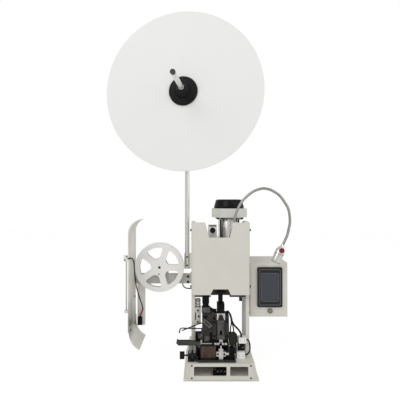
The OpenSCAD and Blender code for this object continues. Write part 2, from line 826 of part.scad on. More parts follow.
module feed_lever() {
    y1 = feed_y0 - slide_gap;
    color([0.66, 0.67, 0.64]) union() {
        along_y(y1 - lever_t, y1) hull() {
            translate([pivot_x, pivot_z]) circle(r = lever_r0, $fn = 32);
            translate([pivot_x + lever_reach_share * feed_w, pivot_z - lever_drop_share * feed_h])
                circle(r = lever_r1, $fn = 32);
        }
        rod_y(pivot_r, pivot_x, y1 - lever_t / 2, feed_y0 + pivot_depth - free_gap, pivot_z);
    }
}
cylinder_r = 10.3;
cylinder_head_r = 11.6;
cylinder_head_h = 18;
cylinder_shift = 5;
collar_w = 27;
collar_d = 25;
collar_h = 18;
collar_r = 4;
cylinder_rise = 4;
arm_t = 12;
arm_gap = 1.5;
arm_end_h = 12;
arm_sink = 3.5;
module feed_cylinder() {
    x = (feed_x0 + feed_x1) / 2 - cylinder_shift;
    y = feed_y0 + feed_d / 2;
    z1 = feed_z1 + collar_h;
    z2 = head_z0 + cylinder_rise;
    x1 = x + collar_w / 2;
    arm_x1 = -adapter_w / 2 - arm_gap;
    arm_z0 = feed_z1 - arm_sink;
    color([0.10, 0.10, 0.11]) union() {
        round_block(x - collar_w / 2, x1, y - collar_d / 2, y + collar_d / 2, feed_z1, z1, collar_r);
        rod_z(cylinder_r, x, y, z1, z2 - cylinder_head_h);
        rod_z(cylinder_head_r, x, y, z2 - cylinder_head_h, z2);
        along_y(y - arm_t / 2, y + arm_t / 2) polygon([
            [x1 - over, z1], [x1 - over, z1 - arm_end_h], [arm_x1, arm_z0], [arm_x1, arm_z0 + arm_end_h],
            [(x1 + arm_x1) / 2, arm_z0 + arm_end_h + arm_gap]
        ]);
    }
}

// Dial on a U-shaped bracket at the front of the applicator ram
dial_y1 = app_ram_y0;
bracket_t = 5;
bracket_half = 13.3;
bracket_leg = 3.4;
dial_t = 6;
dial_cap_t = 2;
dial_pin_r = 2.5;
dial_drop = 11.5;
dial_z = adapter_z0 - dial_drop;
module dial_bracket() {
    z0 = adapter_z0 - bracket_h;
    color([0.86, 0.86, 0.85]) difference() {
        along_y(dial_y1 - bracket_t, dial_y1) difference() {
            translate([-bracket_half, z0]) square([2 * bracket_half, bracket_h]);
            translate([bracket_leg - bracket_half, z0 - over])
                square([2 * (bracket_half - bracket_leg), bracket_h / 2 - bracket_leg]);
        }
        rod_y(dial_pin_r + run_fit, 0, dial_y1 - bracket_t - over, dial_y1 + over, dial_z);
    }
}
module height_dial() {
    y1 = dial_y1 - bracket_t - slide_gap;
    color([0.25, 0.12, 0.10]) union() {
        rod_y(dial_r, 0, y1 - dial_t, y1, dial_z);
        rod_y(dial_pin_r, 0, y1 - over, dial_y1 - slide_gap, dial_z);
        rod_y(dial_r / 2, 0, y1 - dial_t - dial_cap_t, y1 - dial_t, dial_z);
    }
}

// Strip entry at the left: a ribbed channel, the rods over it, and the spring block below
entry_d = 14;
entry_front = 6;
entry_t = 2.5;
entry_len = 78;
entry_wall_h = 18;
entry_dip = 3;
entry_nose = 7;
entry_rise = 5;
entry_seat_w = 8.5;
entry_end = 2;
entry_rib_t = 1;
entry_rib_w = 1.6;
entry_rib_pitch = 3.6;
entry_ribs = 9;
entry_y0 = crimp_y - entry_front;
entry_y1 = entry_y0 + entry_d - entry_dip;
entry_x1 = strip_x0 - entry_end;
entry_x0 = entry_x1 - entry_len;
entry_z0 = rail_z + entry_rise;
module entry_wall() {
    z1 = entry_z0 + entry_wall_h;
    polygon([
        [entry_x0, entry_z0 + entry_nose], [entry_x0 + entry_nose, entry_z0], [entry_x1, entry_z0],
        [entry_x1, z1 - entry_nose], [entry_x1 - entry_len / 2, z1 - entry_dip], [entry_x0 + entry_nose, z1 - entry_dip],
        [entry_x0 + entry_end, z1]
    ]);
}
module entry_guide() {
    color([0.50, 0.51, 0.50]) union() {
        for (y0 = [entry_y0, entry_y1 - entry_t]) along_y(y0, y0 + entry_t) entry_wall();
        block(entry_x0 + entry_nose, entry_x1, entry_y0 + entry_t / 2, entry_y1 - entry_t / 2, entry_z0,
            entry_z0 + entry_t);
        block(entry_x1 - entry_seat_w, entry_x1, entry_y0, entry_y1, rail_z, entry_z0 + entry_t / 2);
        for (k = [0 : entry_ribs - 1]) translate([entry_x0 + entry_nose + k * entry_rib_pitch, 0, 0])
            block(0, entry_rib_w, entry_y0 - entry_rib_t, entry_y0 + entry_t / 2, entry_z0,
                entry_z0 + entry_wall_h - 2 * entry_dip);
    }
}
spring_block_w = 30;
spring_block_d = 30;
spring_gap = 1.5;
spring_inset = 10;
spring_post_r = 2.5;
spring_len = 25;
spring_x1 = bolster_x0 - spring_gap;
spring_x0 = spring_x1 - spring_block_w;
spring_y0 = front_y + spring_inset;
knob_rod_r = 2.5;
knob_r = 11.7;
knob_t = 15;
knob_gap = 11;
knob_setback = 13;
knob_lift = 16;
knob_y = spring_y0 + knob_setback;
knob_z = base_h + knob_lift;
module spring_block() {
    z1 = entry_z0 - spring_len;
    color([0.22, 0.23, 0.24]) difference() {
        union() {
            block(spring_x0, spring_x1, spring_y0, spring_y0 + spring_block_d, base_h, z1);
            for (s = [1, 3]) rod_z(spring_post_r, spring_x0 + s * spring_block_w / 4, entry_y0 + entry_d / 3, z1, entry_z0);
        }
        rod_x(knob_rod_r + run_fit, spring_x0 - over, spring_x0 + spring_block_w / 2, knob_y, knob_z);
    }
}
module adjusting_knob() {
    x0 = spring_x0 - knob_gap;
    color([0.08, 0.08, 0.09]) union() {
        rod_x(knob_r, x0 - knob_t, x0, knob_y, knob_z);
        rod_x(knob_rod_r, x0 - over, x0 + knob_gap + spring_block_w / 2 - free_gap, knob_y, knob_z);
    }
}
// Two thin rods over the strip entry, as shares of the feed unit's width and height
rod_r = 2;
rod_lift = 8;
rod_setbacks = [4, 12];
rod_routes = [
    [[-0.02, 0], [-0.6, 0.004], [-1.3, 0.01], [-1.95, 0.03], [-2.12, -0.02], [-2.22, -0.24]],
    [[-0.02, 0.27], [-0.4, 0.20], [-0.9, 0.08], [-1.4, -0.03], [-1.95, -0.16]]
];
module guide_rods() {
    z = feed_z0 + rod_lift;
    color([0.07, 0.07, 0.07]) for (k = [0, 1])
        tube([for (s = rod_routes[k]) [feed_x0 + s[0] * feed_w, feed_y0 + rod_setbacks[k], z + s[1] * feed_h]], [rod_r], 8);
}

// White connector blocks at the right, and the leads from the applicator
plug_block_w = 25;
plug_block_d = 26;
plug_block_h = 18;
plug_low_w = 27;
plug_low_h = 21;
plug_low_inset = 4.5;
plug_proud = 18;
plug_lift = 50;
plug_y0 = plate_y0 - plug_proud;
plug_z = base_h + plug_lift;
module connector_blocks() {
    x1 = plate_in - plug_low_inset;
    color([0.92, 0.92, 0.89]) {
        block(plate_in - plug_block_w, plate_in, plug_y0, plug_y0 + plug_block_d, plug_z, plug_z + plug_block_h);
        block(x1 - plug_low_w, x1, plug_y0, plug_y0 + plug_block_d, base_h, base_h + plug_low_h);
    }
}
lead_r = 3;
thin_lead_r = 2;
loop_lead_r = 2.5;
// Route of the thick lead, from the applicator frame to the upper block
lead_route = [
    [18, -112, 200.3], [18, -112, 206], [21, -112, 211], [26, -112, 209], [31, -112, 203], [35, -111, 192],
    [38, -110, 179], [44, -109, 167], [55, -108, 155], [64, -108, 144], [68, -108, 134], [68, -108, 126.5]
];
// Routes of the two thin leads, from the applicator frame to the tower
lead_inner_route = [
    [21, -98, 200.2], [21, -98, 204], [25, -98, 206], [30, -99, 200], [34, -101, 189], [36, -103, 178],
    [36, -104, 168], [34, -104, 158], [33, -104, 147], [33, -104, 138.3]
];
lead_outer_route = [
    [23, -86, 200.2], [23, -86, 204], [27, -87, 205], [32, -90, 198], [36, -94, 186], [39, -97, 172],
    [42, -99, 158], [44, -100, 147], [44, -100, 138.3]
];
// Route of the lead that loops from the upper block to the lower one
lead_loop_route = [
    [84.8, -110, 118], [88, -110, 118], [93, -111, 114], [96, -112, 104], [97, -112, 92], [95, -112, 80],
    [90, -111, 72], [85, -110, 69], [80.3, -110, 69]
];
module applicator_leads() {
    color([0.05, 0.05, 0.05]) {
        tube(smooth_run(lead_route, 2), [lead_r], 8);
        tube(smooth_run(lead_inner_route, 2), [thin_lead_r], 8);
        tube(smooth_run(lead_outer_route, 2), [thin_lead_r], 8);
        tube(smooth_run(lead_loop_route, 2), [loop_lead_r], 8);
    }
}
// Pale valve with round fittings and a filter bowl, on the inside of the left side plate
valve_w = 19.5;
valve_d = 26;
valve_h = 54;
valve_lift = 16;
valve_inset = 2;
bowl_r = 8.5;
bowl_h = 27;
fitting_r = 4;
fitting_t = 4;
fitting_shares = [[0.45, 0.86], [0.62, 0.5], [0.45, 0.16]];
module valve_block() {
    x0 = -plate_in;
    y0 = plate_y0 + valve_inset;
    z0 = feed_z0 + valve_lift;
    color([0.80, 0.80, 0.76]) union() {
        block(x0, x0 + valve_w, y0, y0 + valve_d, z0, z0 + valve_h);
        rod_z(bowl_r, x0 + valve_w / 2, y0 + valve_d / 2, z0 + valve_h, z0 + valve_h + bowl_h);
        for (s = fitting_shares) rod_y(fitting_r, x0 + s[0] * valve_w, y0 - fitting_t, y0, z0 + s[1] * valve_h);
    }
}

// Reel stand
mast_r = mast_dia / 2;
mast_gap = 9.5;
mast_x = -plate_out - mast_r - mast_gap;
mast_inset = 20;
mast_y = plate_y1 - mast_inset;
holder_wall = 2.5;
holder_r = mast_r + holder_wall;
mast_z0 = 335;
mast_sleeve_h = 54;
sleeve_floor = 5;
sleeve_foot_w = 12;
sleeve_foot_t = 4;
module mast_holder() {
    color([0.62, 0.63, 0.64]) difference() {
        union() {
            rod_z(holder_r, mast_x, mast_y, mast_z0, mast_z0 + mast_sleeve_h);
            block(mast_x, -plate_out, mast_y - sleeve_foot_w / 2, mast_y + sleeve_foot_w / 2, mast_z0,
                mast_z0 + mast_sleeve_h);
            block(-plate_out - sleeve_foot_t, -plate_out, mast_y - sleeve_foot_w, mast_y + sleeve_foot_w, mast_z0,
                mast_z0 + mast_sleeve_h);
        }
        rod_z(mast_r + run_fit, mast_x, mast_y, mast_z0 + sleeve_floor, mast_z0 + mast_sleeve_h + over);
    }
}
clamp_w = 30;
clamp_h = 34;
clamp_r = 3;
axle_gap = 3;
axle_shoulder = 1;
module at_mast() {
    translate([mast_x, mast_y, 0]) rotate([0, 0, -axle_yaw]) children();
}
module reel_mast() {
    color([0.78, 0.79, 0.80]) rod_z(mast_r, mast_x, mast_y, mast_z0 + sleeve_floor, reel_z + clamp_h / 2);
}
module reel_axle() {
    axle_y0 = -mast_r - axle_gap;
    shoulder_y = -disc_back - reel_t - hub_len - axle_shoulder;
    color([0.74, 0.75, 0.76]) at_mast() difference() {
        union() {
            round_block(-clamp_w / 2, clamp_w / 2, -clamp_w / 2, clamp_w / 2, reel_z - clamp_h / 2,
                reel_z + clamp_h / 2, clamp_r);
            rod_y(axle_dia / 2, 0, -axle_len, axle_y0, reel_z);
            rod_y(axle_dia / 2 + axle_shoulder, 0, shoulder_y, axle_y0, reel_z);
        }
        rod_z(mast_r + run_fit, 0, 0, reel_z - clamp_h, reel_z + clamp_h);
    }
}
disc_back = 78;
module reel_disc() {
    color([0.95, 0.95, 0.94]) at_mast() difference() {
        rod_y(reel_dia / 2, 0, -disc_back - reel_t, -disc_back, reel_z, $fn = 96);
        rod_y(hub_core_r, 0, -disc_back - reel_t - over, over - disc_back, reel_z);
    }
}
hub_core_r = 20;
hub_flange_t = 9;
hub_cone_r = 27;
hub_neck_r = 13;
hub_len = 44;
hub_back_t = 6;
module reel_hub() {
    r = hub_dia / 2;
    bore = axle_dia / 2 + axle_shoulder + run_fit;
    y_front = disc_back + reel_t;
    color([0.05, 0.05, 0.06]) at_mast() translate([0, 0, reel_z]) rotate([90, 0, 0]) rotate_extrude($fn = 64) polygon([
        [bore, disc_back - hub_back_t], [r * slot_share, disc_back - hub_back_t],
        [r * slot_share, disc_back], [hub_core_r, disc_back], [hub_core_r, y_front], [r, y_front],
        [r, y_front + hub_flange_t / 2], [r - hub_flange_t / 2, y_front + hub_flange_t],
        [hub_cone_r, y_front + hub_flange_t], [hub_neck_r, y_front + hub_len], [bore, y_front + hub_len]
    ]);
}

// Take-up bracket, motor and reel
bracket_z0 = 284;
bracket_z1 = 320;
arm_plate_t = 6;
takeup_x = -plate_out - takeup_reach;
takeup_setback = 56;
takeup_gap = 2;
takeup_y0 = plate_y0 + takeup_setback;
takeup_y1 = takeup_y0 + takeup_w;
bracket_y0 = takeup_y1 + takeup_gap;
bracket_y1 = bracket_y0 + arm_plate_t;
boss_r = 30;
takeup_shaft_r = 4;
chute_x = -plate_out - chute_reach;
chute_in_x = chute_x + chute_t;
module takeup_bracket() {
    foot_d = plate_y1 - bracket_y0 - arm_plate_t;
    color([0.66, 0.67, 0.66]) difference() {
        union() {
            along_y(bracket_y0, bracket_y1) union() {
                translate([chute_in_x, bracket_z0]) square([-plate_out - chute_in_x, bracket_z1 - bracket_z0]);
                hull() {
                    translate([takeup_x, takeup_z]) circle(r = boss_r, $fn = 32);
                    translate([takeup_x - boss_r, bracket_z0]) square([2 * boss_r, bracket_z1 - bracket_z0]);
                }
            }
            block(-plate_out - arm_plate_t, -plate_out, bracket_y0, bracket_y0 + foot_d, bracket_z0, bracket_z1);
            block(chute_in_x, chute_in_x + arm_plate_t, bracket_y0, chute_y1, bracket_z0, bracket_z1);
        }
        rod_y(takeup_shaft_r + free_gap, takeup_x, bracket_y0 - over, bracket_y1 + over, takeup_z);
    }
}
takeup_motor_r = 22;
takeup_motor_len = 48;
motor_boss_t = 4;
shaft_proud = 2;
module takeup_motor() {
    color([0.30, 0.31, 0.33]) union() {
        rod_y(takeup_motor_r, takeup_x, bracket_y1, bracket_y1 + takeup_motor_len, takeup_z);
        rod_y(takeup_motor_r / 2, takeup_x, bracket_y1 + takeup_motor_len,
            bracket_y1 + takeup_motor_len + motor_boss_t, takeup_z);
        rod_y(takeup_shaft_r, takeup_x, takeup_y0 - shaft_proud, bracket_y1, takeup_z);
    }
}
reel_flange_t = 2;
reel_core_r = 27;
window_in_share = 0.36;
window_out_share = 0.82;
window_half_turn = 27;
window_first = 34;
window_turn = 72;
window_round_share = 0.3;
core_inset = 1;
module reel_window() {
    r0 = window_in_share * takeup_dia / 2;
    r1 = window_out_share * takeup_dia / 2;
    turn = window_half_turn * slot_share;
    polygon(soften(concat(
        [for (a = [-window_half_turn, 0, window_half_turn]) [r1 * cos(a), r1 * sin(a)]],
        [for (a = [turn, -turn]) [r0 * cos(a), r0 * sin(a)]]
    ), window_round_share));
}
module reel_face() {
    difference() {
        circle(r = takeup_dia / 2, $fn = 96);
        for (k = [0 : 360 / window_turn - 1]) rotate(window_first + k * window_turn) reel_window();
    }
}
module takeup_reel() {
    color([0.93, 0.93, 0.92]) difference() {
        union() {
            for (y0 = [takeup_y0, takeup_y1 - reel_flange_t])
                translate([takeup_x, 0, takeup_z]) along_y(y0, y0 + reel_flange_t) reel_face();
            rod_y(reel_core_r, takeup_x, takeup_y0 + core_inset, takeup_y1 - core_inset, takeup_z);
        }
        rod_y(takeup_shaft_r + run_fit, takeup_x, takeup_y0 - over, takeup_y1 + over, takeup_z);
    }
}
takeup_lead_r = 2;
// Route of the take-up lead, from the bracket to the side plate
takeup_lead_route = [
    [-130, -8, 284], [-130, -8, 277], [-127, -8, 270], [-120, -8, 264], [-110, -8, 262], [-103, -8, 262],
    [-96.5, -8, 262]
];
module takeup_lead() {
    color([0.05, 0.05, 0.05]) tube(smooth_run(takeup_lead_route, 2), [takeup_lead_r], 8);
}

// Chute
chute_setback = 88;
chute_y1 = plate_y0 + chute_setback;
chute_y0 = chute_y1 - chute_w;
chute_z0 = 150;
chute_z1 = chute_z0 + chute_run;
chute_foot_turn = 65;
chute_top_turn = 64;
chute_lap = 22;
hinge_w = 14;
hinge_z = 388;
hinge_gap = 3;
lug_t = 3;
hinge_inset = 8;
module arc_strip(r, t, a0, a1) {
    polygon(concat(
        [for (k = [0 : 12]) let (a = a0 + (a1 - a0) * k / 12) [r * cos(a), r * sin(a)]],
        [for (k = [12 : -1 : 0]) let (a = a0 + (a1 - a0) * k / 12) [(r - t) * cos(a), (r - t) * sin(a)]]
    ));
}
eye_r = 5;
eye_bore = 1.6;
lever_x = chute_x - eye_r - hinge_gap;
lever_y0 = chute_y0 + hinge_inset;
module chute_upper() {
    color([0.66, 0.65, 0.58]) union() {
        along_y(chute_y0, chute_y1) union() {
            translate([chute_x, chute_z0]) square([chute_t, chute_run]);
            translate([chute_x + chute_top_r, chute_z1]) arc_strip(chute_top_r, chute_t, 180 - chute_top_turn, 180);
        }
        for (y0 = [lever_y0, lever_y0 + hinge_w - lug_t])
            block(lever_x - eye_r / 2, chute_x + chute_t / 2, y0, y0 + lug_t, hinge_z - eye_r, hinge_z + eye_r);
        rod_y(eye_bore, lever_x, lever_y0, lever_y0 + hinge_w, hinge_z);
    }
}
module chute_lower() {
    color([0.62, 0.61, 0.55]) along_y(chute_y0, chute_y1) union() {
        translate([chute_in_x, chute_z0]) square([chute_t, chute_lap]);
        translate([chute_in_x + chute_foot_r, chute_z0])
            arc_strip(chute_foot_r, chute_t, 180, 180 + chute_foot_turn);
    }
}
plate_drop = 150;
guide_plate_t = 3;
guide_plate_w = 28;
guide_plate_r = 5;
guide_lap = 24;
guide_gap = 7;
guide_x0 = chute_in_x + guide_gap;
plug_w = 16;
plug_h = 28;
plug_d = 12;
plug_inset = 2;
plug_top_z = 166;
guide_foot_z = bracket_z0 - plate_drop;
module guide_plate() {
    color([0.85, 0.85, 0.82]) along_y(bracket_y1, bracket_y1 + guide_plate_t)
        round_outline(guide_x0, guide_x0 + guide_plate_w, guide_foot_z, bracket_z0 + guide_lap, guide_plate_r);
}
chute_lead_r = 2;
// Route of the chute lead, from the chute to its connector
chute_lead_route = [
    [-301, -143, 391], [-296, -142, 391], [-295, -134, 390], [-295, -112, 388], [-294, -90, 380],
    [-293, -78, 366], [-292, -74, 345], [-290, -71, 315], [-286, -66, 282], [-279, -56, 247],
    [-272, -42, 215], [-270, -33, 193], [-276, -28, 178], [-280, -26, 170], [-280, -26, 166.4]
];
module chute_lead() {
    x0 = guide_x0 + plug_inset;
    color([0.05, 0.05, 0.05]) {
        tube(smooth_run(chute_lead_route, 2), [chute_lead_r], 8);
        block(x0, x0 + plug_w, bracket_y1 - plug_d, bracket_y1, plug_top_z - plug_h, plug_top_z);
    }
}
lever_r = 2.5;
eye_wall = 1;
module sensor_lever() {
    y = lever_y0 + hinge_w / 2;
    half = hinge_w / 2 - lug_t - slide_gap;
    color([0.80, 0.78, 0.70]) difference() {
        union() {
            rod_y(eye_r, lever_x, y - half, y + half, hinge_z);
            rod_z(lever_r, lever_x, y, hinge_z - lever_len, hinge_z - eye_bore - eye_wall);
            translate([lever_x, y, hinge_z - lever_len]) rotate([90, 0, 0]) rotate_extrude()
                translate([eye_r, 0]) circle(r = lever_r * slot_share, $fn = 24);
        }
        rod_y(eye_bore + run_fit, lever_x, y - hinge_w, y + hinge_w, hinge_z);
    }
}

// Lamp
socket_r = 8.5;
socket_foot_t = 12;
socket_foot_half = 10;
// Route of the gooseneck, from its socket to the lamp head
neck_route = [
    [44, -106, 503], [46, -106, 512], [51, -106, 532], [62, -106, 559], [77, -106, 581], [99, -106, 601],
    [118, -106, 612], [141, -106, 618], [158, -106, 616], [172, -106, 611], [195, -106, 596], [213, -106, 573],
    [227, -106, 546], [231, -106, 508], [227, -106, 484], [222, -106, 463], [212, -106, 440], [208, -106, 432]
];
neck_start = neck_route[0];
neck_end = neck_route[len(neck_route) - 1];
neck_rib = 0.6;
neck_tip_wall = 1;
neck_tip_h = 4;
neck_steps = 8;
module lamp_socket() {
    x = neck_start[0];
    y = neck_start[1];
    z1 = head_z1 + socket_foot_t;
    color([0.50, 0.51, 0.52]) union() {
        block(x - socket_foot_half, x + socket_foot_half, y - socket_foot_half, head_y0 + 2 * socket_foot_half,
            head_z1, z1);
        rod_z(socket_r, x, y, z1, neck_start[2] - over);
    }
}
module gooseneck() {
    color([0.60, 0.60, 0.58])
        tube(smooth_run(neck_route, neck_steps), [neck_dia / 2, neck_dia / 2 - neck_rib], 8);
}
lamp_aim = [183, -106, 374];
head_dir = unit(lamp_aim - neck_end);
lamp_cone_share = 0.34;
lamp_rim_share = 0.9;
lamp_wall = 2;
module at_lamp() {
    translate(neck_end) rotate([0, atan2(head_dir[0], head_dir[2]), 0]) children();
}
module lamp_head() {
    r = lamp_dia / 2;
    cone = lamp_cone_share * lamp_len;
    tip = neck_dia / 2 + neck_tip_wall;
    color([0.72, 0.72, 0.72]) at_lamp() difference() {
        rotate_extrude() polygon([
            [0, seat_gap], [tip, seat_gap], [tip, neck_tip_h], [r, cone], [r, lamp_len],
            [r - lamp_wall, lamp_len], [r - lamp_wall, lamp_rim_share * lamp_len], [0, lamp_rim_share * lamp_len]
        ]);
        translate([0, 0, button_at]) rotate([90, 0, 0])
            cylinder(r = lamp_button_r + seat_gap, h = r + over);
    }
}
button_at = 20;
lamp_button_r = 8;
button_out = 4;
button_root = 3;
module lamp_button() {
    r = lamp_dia / 2;
    color([0.62, 0.08, 0.09]) at_lamp() translate([0, 0, button_at]) rotate([90, 0, 0])
        translate([0, 0, button_root]) cylinder(r = lamp_button_r, h = r - button_root + button_out / 2);
}

// Control box
box_gap = 7.5;
box_x0 = plate_out + box_gap;
box_x1 = box_x0 + box_w;
box_setback = 38;
box_y0 = plate_y0 + box_setback;
box_y1 = box_y0 + box_d;
box_z0 = 178;
box_z1 = box_z0 + box_h;
box_r = 4;
spacer_r = 8;
ring_w = 3;
ring_t = 2;
button_shift = 4;
button_lift = 21;
button_x = box_x0 + box_w / 2 + button_shift;
button_z = box_z0 + button_lift;
button_r = button_dia / 2;
module control_box() {
    color([0.80, 0.80, 0.73]) difference() {
        union() {
            round_block(box_x0, box_x1, box_y0, box_y1, box_z0, box_z1, box_r);
            for (y = [box_y0 + 3 * spacer_r / 2, plate_y1 - 2 * spacer_r])
                for (z = [box_z0 + 3 * spacer_r, box_z1 - 3 * spacer_r])
                    rod_x(spacer_r, plate_out, box_x0 + box_t / 2, y, z);
            rod_y(button_r + ring_w, button_x, box_y0 - ring_t, box_y0 + box_t, button_z);
        }
        block(box_x0 + box_t, box_x1 - box_t, box_y0 + box_t, box_y1 + over, box_z0 + box_t, box_z1 - box_t);
        rod_y(button_r + seat_gap, button_x, box_y0 - ring_t - over, box_y0 + box_t + over, button_z);
    }
    color([0.78, 0.78, 0.71]) round_block(box_x0, box_x1, box_y1, box_y1 + box_t, box_z0, box_z1, box_t / 4);
}
button_len = 14;
button_proud = 4;
module power_button() {
    color([0.72, 0.60, 0.34]) rod_y(button_r, button_x, box_y0 - button_proud, box_y0 - button_proud + button_len,
        button_z);
}
hmi_t = 6;
hmi_r = 5;
hmi_drop = 14;
hmi_inset = 25;
hmi_z1 = box_z1 - hmi_drop;
hmi_x0 = box_x0 + hmi_inset;
screen_w_share = 0.65;
screen_h_share = 0.68;
screen_recess = 1;
module display_bezel() {
    x1 = hmi_x0 + hmi_w;
    sx = hmi_w * (1 - screen_w_share) / 2;
    sz = hmi_h * (1 - screen_h_share) / 2;
    color([0.05, 0.05, 0.06]) difference() {
        along_y(box_y0 - hmi_t, box_y0) round_outline(hmi_x0, x1, hmi_z1 - hmi_h, hmi_z1, hmi_r);
        block(hmi_x0 + sx, x1 - sx, box_y0 - hmi_t - over, box_y0 - hmi_t / 2, hmi_z1 - hmi_h + sz, hmi_z1 - sz);
    }
}
module display_screen() {
    sx = hmi_w * (1 - screen_w_share) / 2;
    sz = hmi_h * (1 - screen_h_share) / 2;
    color([0.16, 0.19, 0.23]) block(hmi_x0 + sx, hmi_x0 + hmi_w - sx, box_y0 - hmi_t + screen_recess,
        box_y0 - hmi_t / 2, hmi_z1 - hmi_h + sz, hmi_z1 - sz);
}

// Socket-head screws on the still parts
small_screw_r = 3;
small_screw_head = 2;
cover_screw_inset = 26;
guide_screw_x = 15.5;
guide_screw_lift = 10;
arm_screw_reach = 14;
arm_screw_lifts = [6, 25];
gib_screw_x = 20.5;
gib_screw_shares = [0.16, 0.9];
holder_screw_x = 10.5;
module machine_screws() {
    color([0.06, 0.06, 0.07]) {
        for (s = [-1, 1], z = [cover_z0 + cover_screw_inset, plate_z1 - cover_screw_inset])
            screw_side(s * cover_half, cover_y1 - cover_d / 3, z, s * side_turn, screw_r, screw_head);
        for (s = [-1, 1]) {
            screw_front(s * guide_screw_x, slide_y0 - slide_gap - lip_t, guide_z0 + guide_screw_lift, small_screw_r,
                small_screw_head);
            screw_front(s * holder_screw_x, anvil_y0 - holder_t, bolster_z + (arm_z0 + arm_z1) / 2, small_screw_r,
                small_screw_head);
            for (k = gib_screw_shares)
                screw_front(s * gib_screw_x, cheek_y0 - gib_t, gib_z0 + k * gib_h, small_screw_r, small_screw_head);
        }
        for (z = arm_screw_lifts)
            screw_front(-plate_out - arm_screw_reach, bracket_y0, bracket_z0 + z, screw_r, screw_head);
    }
}

base_casting();
base_front_plate();
base_terminal_block();
side_plate_left();
side_plate_right();
head_block();
crank_bushes();
gearbox_housing();
front_cover();
machine_screws();
motor_body();
motor_end_bell();
motor_fan_cover();
junction_box();
slide_guides();
bolster_plate();
applicator_base();
applicator_frame();
anvil();
anvil_holder();
strip_guide();
strip_rail();
feed_cylinder();
feed_bracket();
entry_guide();
spring_block();
guide_rods();
connector_blocks();
applicator_leads();
valve_block();
mast_holder();
takeup_bracket();
takeup_motor();
takeup_lead();
chute_upper();
chute_lower();
guide_plate();
chute_lead();
lamp_socket();
control_box();
power_button();
display_bezel();
display_screen();
crankshaft();
press_ram();
applicator_ram();
crimpers();
dial_bracket();
height_dial();
feed_lever();
adjusting_knob();
reel_mast();
reel_axle();
reel_disc();
reel_hub();
takeup_reel();
sensor_lever();
gooseneck();
lamp_head();
lamp_button();
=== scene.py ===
"""Dresses the terminal crimping machine: finishes, fine parts, leads, light and camera."""

import json
import math

import bmesh
import bpy
from mathutils import Matrix, Vector


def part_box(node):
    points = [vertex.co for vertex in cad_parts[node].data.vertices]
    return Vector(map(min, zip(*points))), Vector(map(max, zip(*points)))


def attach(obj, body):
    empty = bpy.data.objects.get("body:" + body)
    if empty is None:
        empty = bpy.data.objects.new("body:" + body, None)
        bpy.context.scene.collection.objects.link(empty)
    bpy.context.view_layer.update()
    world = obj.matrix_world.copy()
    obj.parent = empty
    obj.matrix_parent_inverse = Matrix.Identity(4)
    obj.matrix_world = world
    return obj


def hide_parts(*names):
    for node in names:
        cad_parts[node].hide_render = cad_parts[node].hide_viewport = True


bl_info = {
    "name": "Terminal crimping machine",
    "version": (1, 0, 0),
    "blender": (4, 5, 0),
    "location": "View3D > Sidebar > Crimping machine",
    "description": "Makes the finishes, fine parts, leads and studio of a terminal crimping machine",
    "category": "Object",
}

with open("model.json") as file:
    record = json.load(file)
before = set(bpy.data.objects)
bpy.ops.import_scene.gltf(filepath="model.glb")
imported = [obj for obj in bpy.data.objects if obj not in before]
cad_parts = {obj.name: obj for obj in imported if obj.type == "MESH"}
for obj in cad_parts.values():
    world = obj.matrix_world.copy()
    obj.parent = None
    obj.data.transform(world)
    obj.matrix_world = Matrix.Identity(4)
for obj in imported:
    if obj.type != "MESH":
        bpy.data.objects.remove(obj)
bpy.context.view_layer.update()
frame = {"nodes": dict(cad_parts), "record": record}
BODY_OF = {
    node: body for body, nodes in frame["record"]["behaviour"]["bodies"].items() for node in nodes
}
SLOT_OF = {part["node"]: part["material_slot"] for part in frame["record"]["subparts"]}
MM = 0.001
RIGHT, AWAY, UP = Vector((1, 0, 0)), Vector((0, 1, 0)), Vector((0, 0, 1))
FRONT, DOWN = -AWAY, -UP
SHARP_ANGLE = math.radians(35)
TUBE_ANGLE = math.radians(60)
BEVEL_ANGLE = math.radians(40)
FLAT_ANGLE = math.radians(0.4)
MERGE_DISTANCE = 0.00001
MOST_CORNERS = 60


def linear(hex_code):
    """A colour written as six hexadecimal digits of sRGB, as linear red, green, blue and alpha."""
    channels = [int(hex_code[i : i + 2], 16) / 255 for i in (0, 2, 4)]
    return tuple(c / 12.92 if c <= 0.04045 else ((c + 0.055) / 1.055) ** 2.4 for c in channels) + (1.0,)


def colour_prop(label, description, hex_code):
    return bpy.props.FloatVectorProperty(
        name=label, description=description, subtype="COLOR", size=4, min=0, max=1, default=linear(hex_code)
    )


def length_prop(label, description, metres, least=0):
    return bpy.props.FloatProperty(
        name=label, description=description, unit="LENGTH", subtype="DISTANCE", min=least, default=metres
    )


def number_prop(label, description, value, least=0):
    return bpy.props.FloatProperty(name=label, description=description, min=least, default=value)


class CrimperColours(bpy.types.PropertyGroup):
    paint: colour_prop("Paint", "Ivory powder coat of the frame, cover and boxes", "DFDDD3")
    casting: colour_prop("Casting", "Grey paint of the head and gearbox", "CBCAC4")
    dark_steel: colour_prop("Dark steel", "Machined steel of the applicator", "5B5A5B")
    bright_steel: colour_prop("Bright steel", "Ground steel of the anvil and the small parts", "EFEEE9")
    aluminium: colour_prop("Aluminium", "Turned aluminium of the motor", "E9E7E2")
    chute: colour_prop("Chute sheet", "Stainless sheet of the chute", "F6F4EB")
    bronze: colour_prop("Bronze", "Slide guides and bushes", "4E3A30")
    brass: colour_prop("Brass", "Push button", "A39A7C")
    black: colour_prop("Black", "Moulded plastic and cable sheath", "0E0E10")
    white: colour_prop("White", "Moulded white plastic", "F8F7F4")
    board: colour_prop("Reel board", "White board of the big reel", "F6F6F4")
    red: colour_prop("Red", "Lamp button", "86121C")
    # The dark grey of the head block is painted shade under the front cover.
    iron: colour_prop("Head block", "Dark grey paint of the head block", "4A4A4A")
    maroon: colour_prop("Dial", "Reddish brown of the crimp-height dial", "1D0D0B")
    wire: colour_prop("Switch wires", "Red wires of the chute switch", "9C2A2C")
    glass: colour_prop("Display", "Dark glass of the display", "272E37")


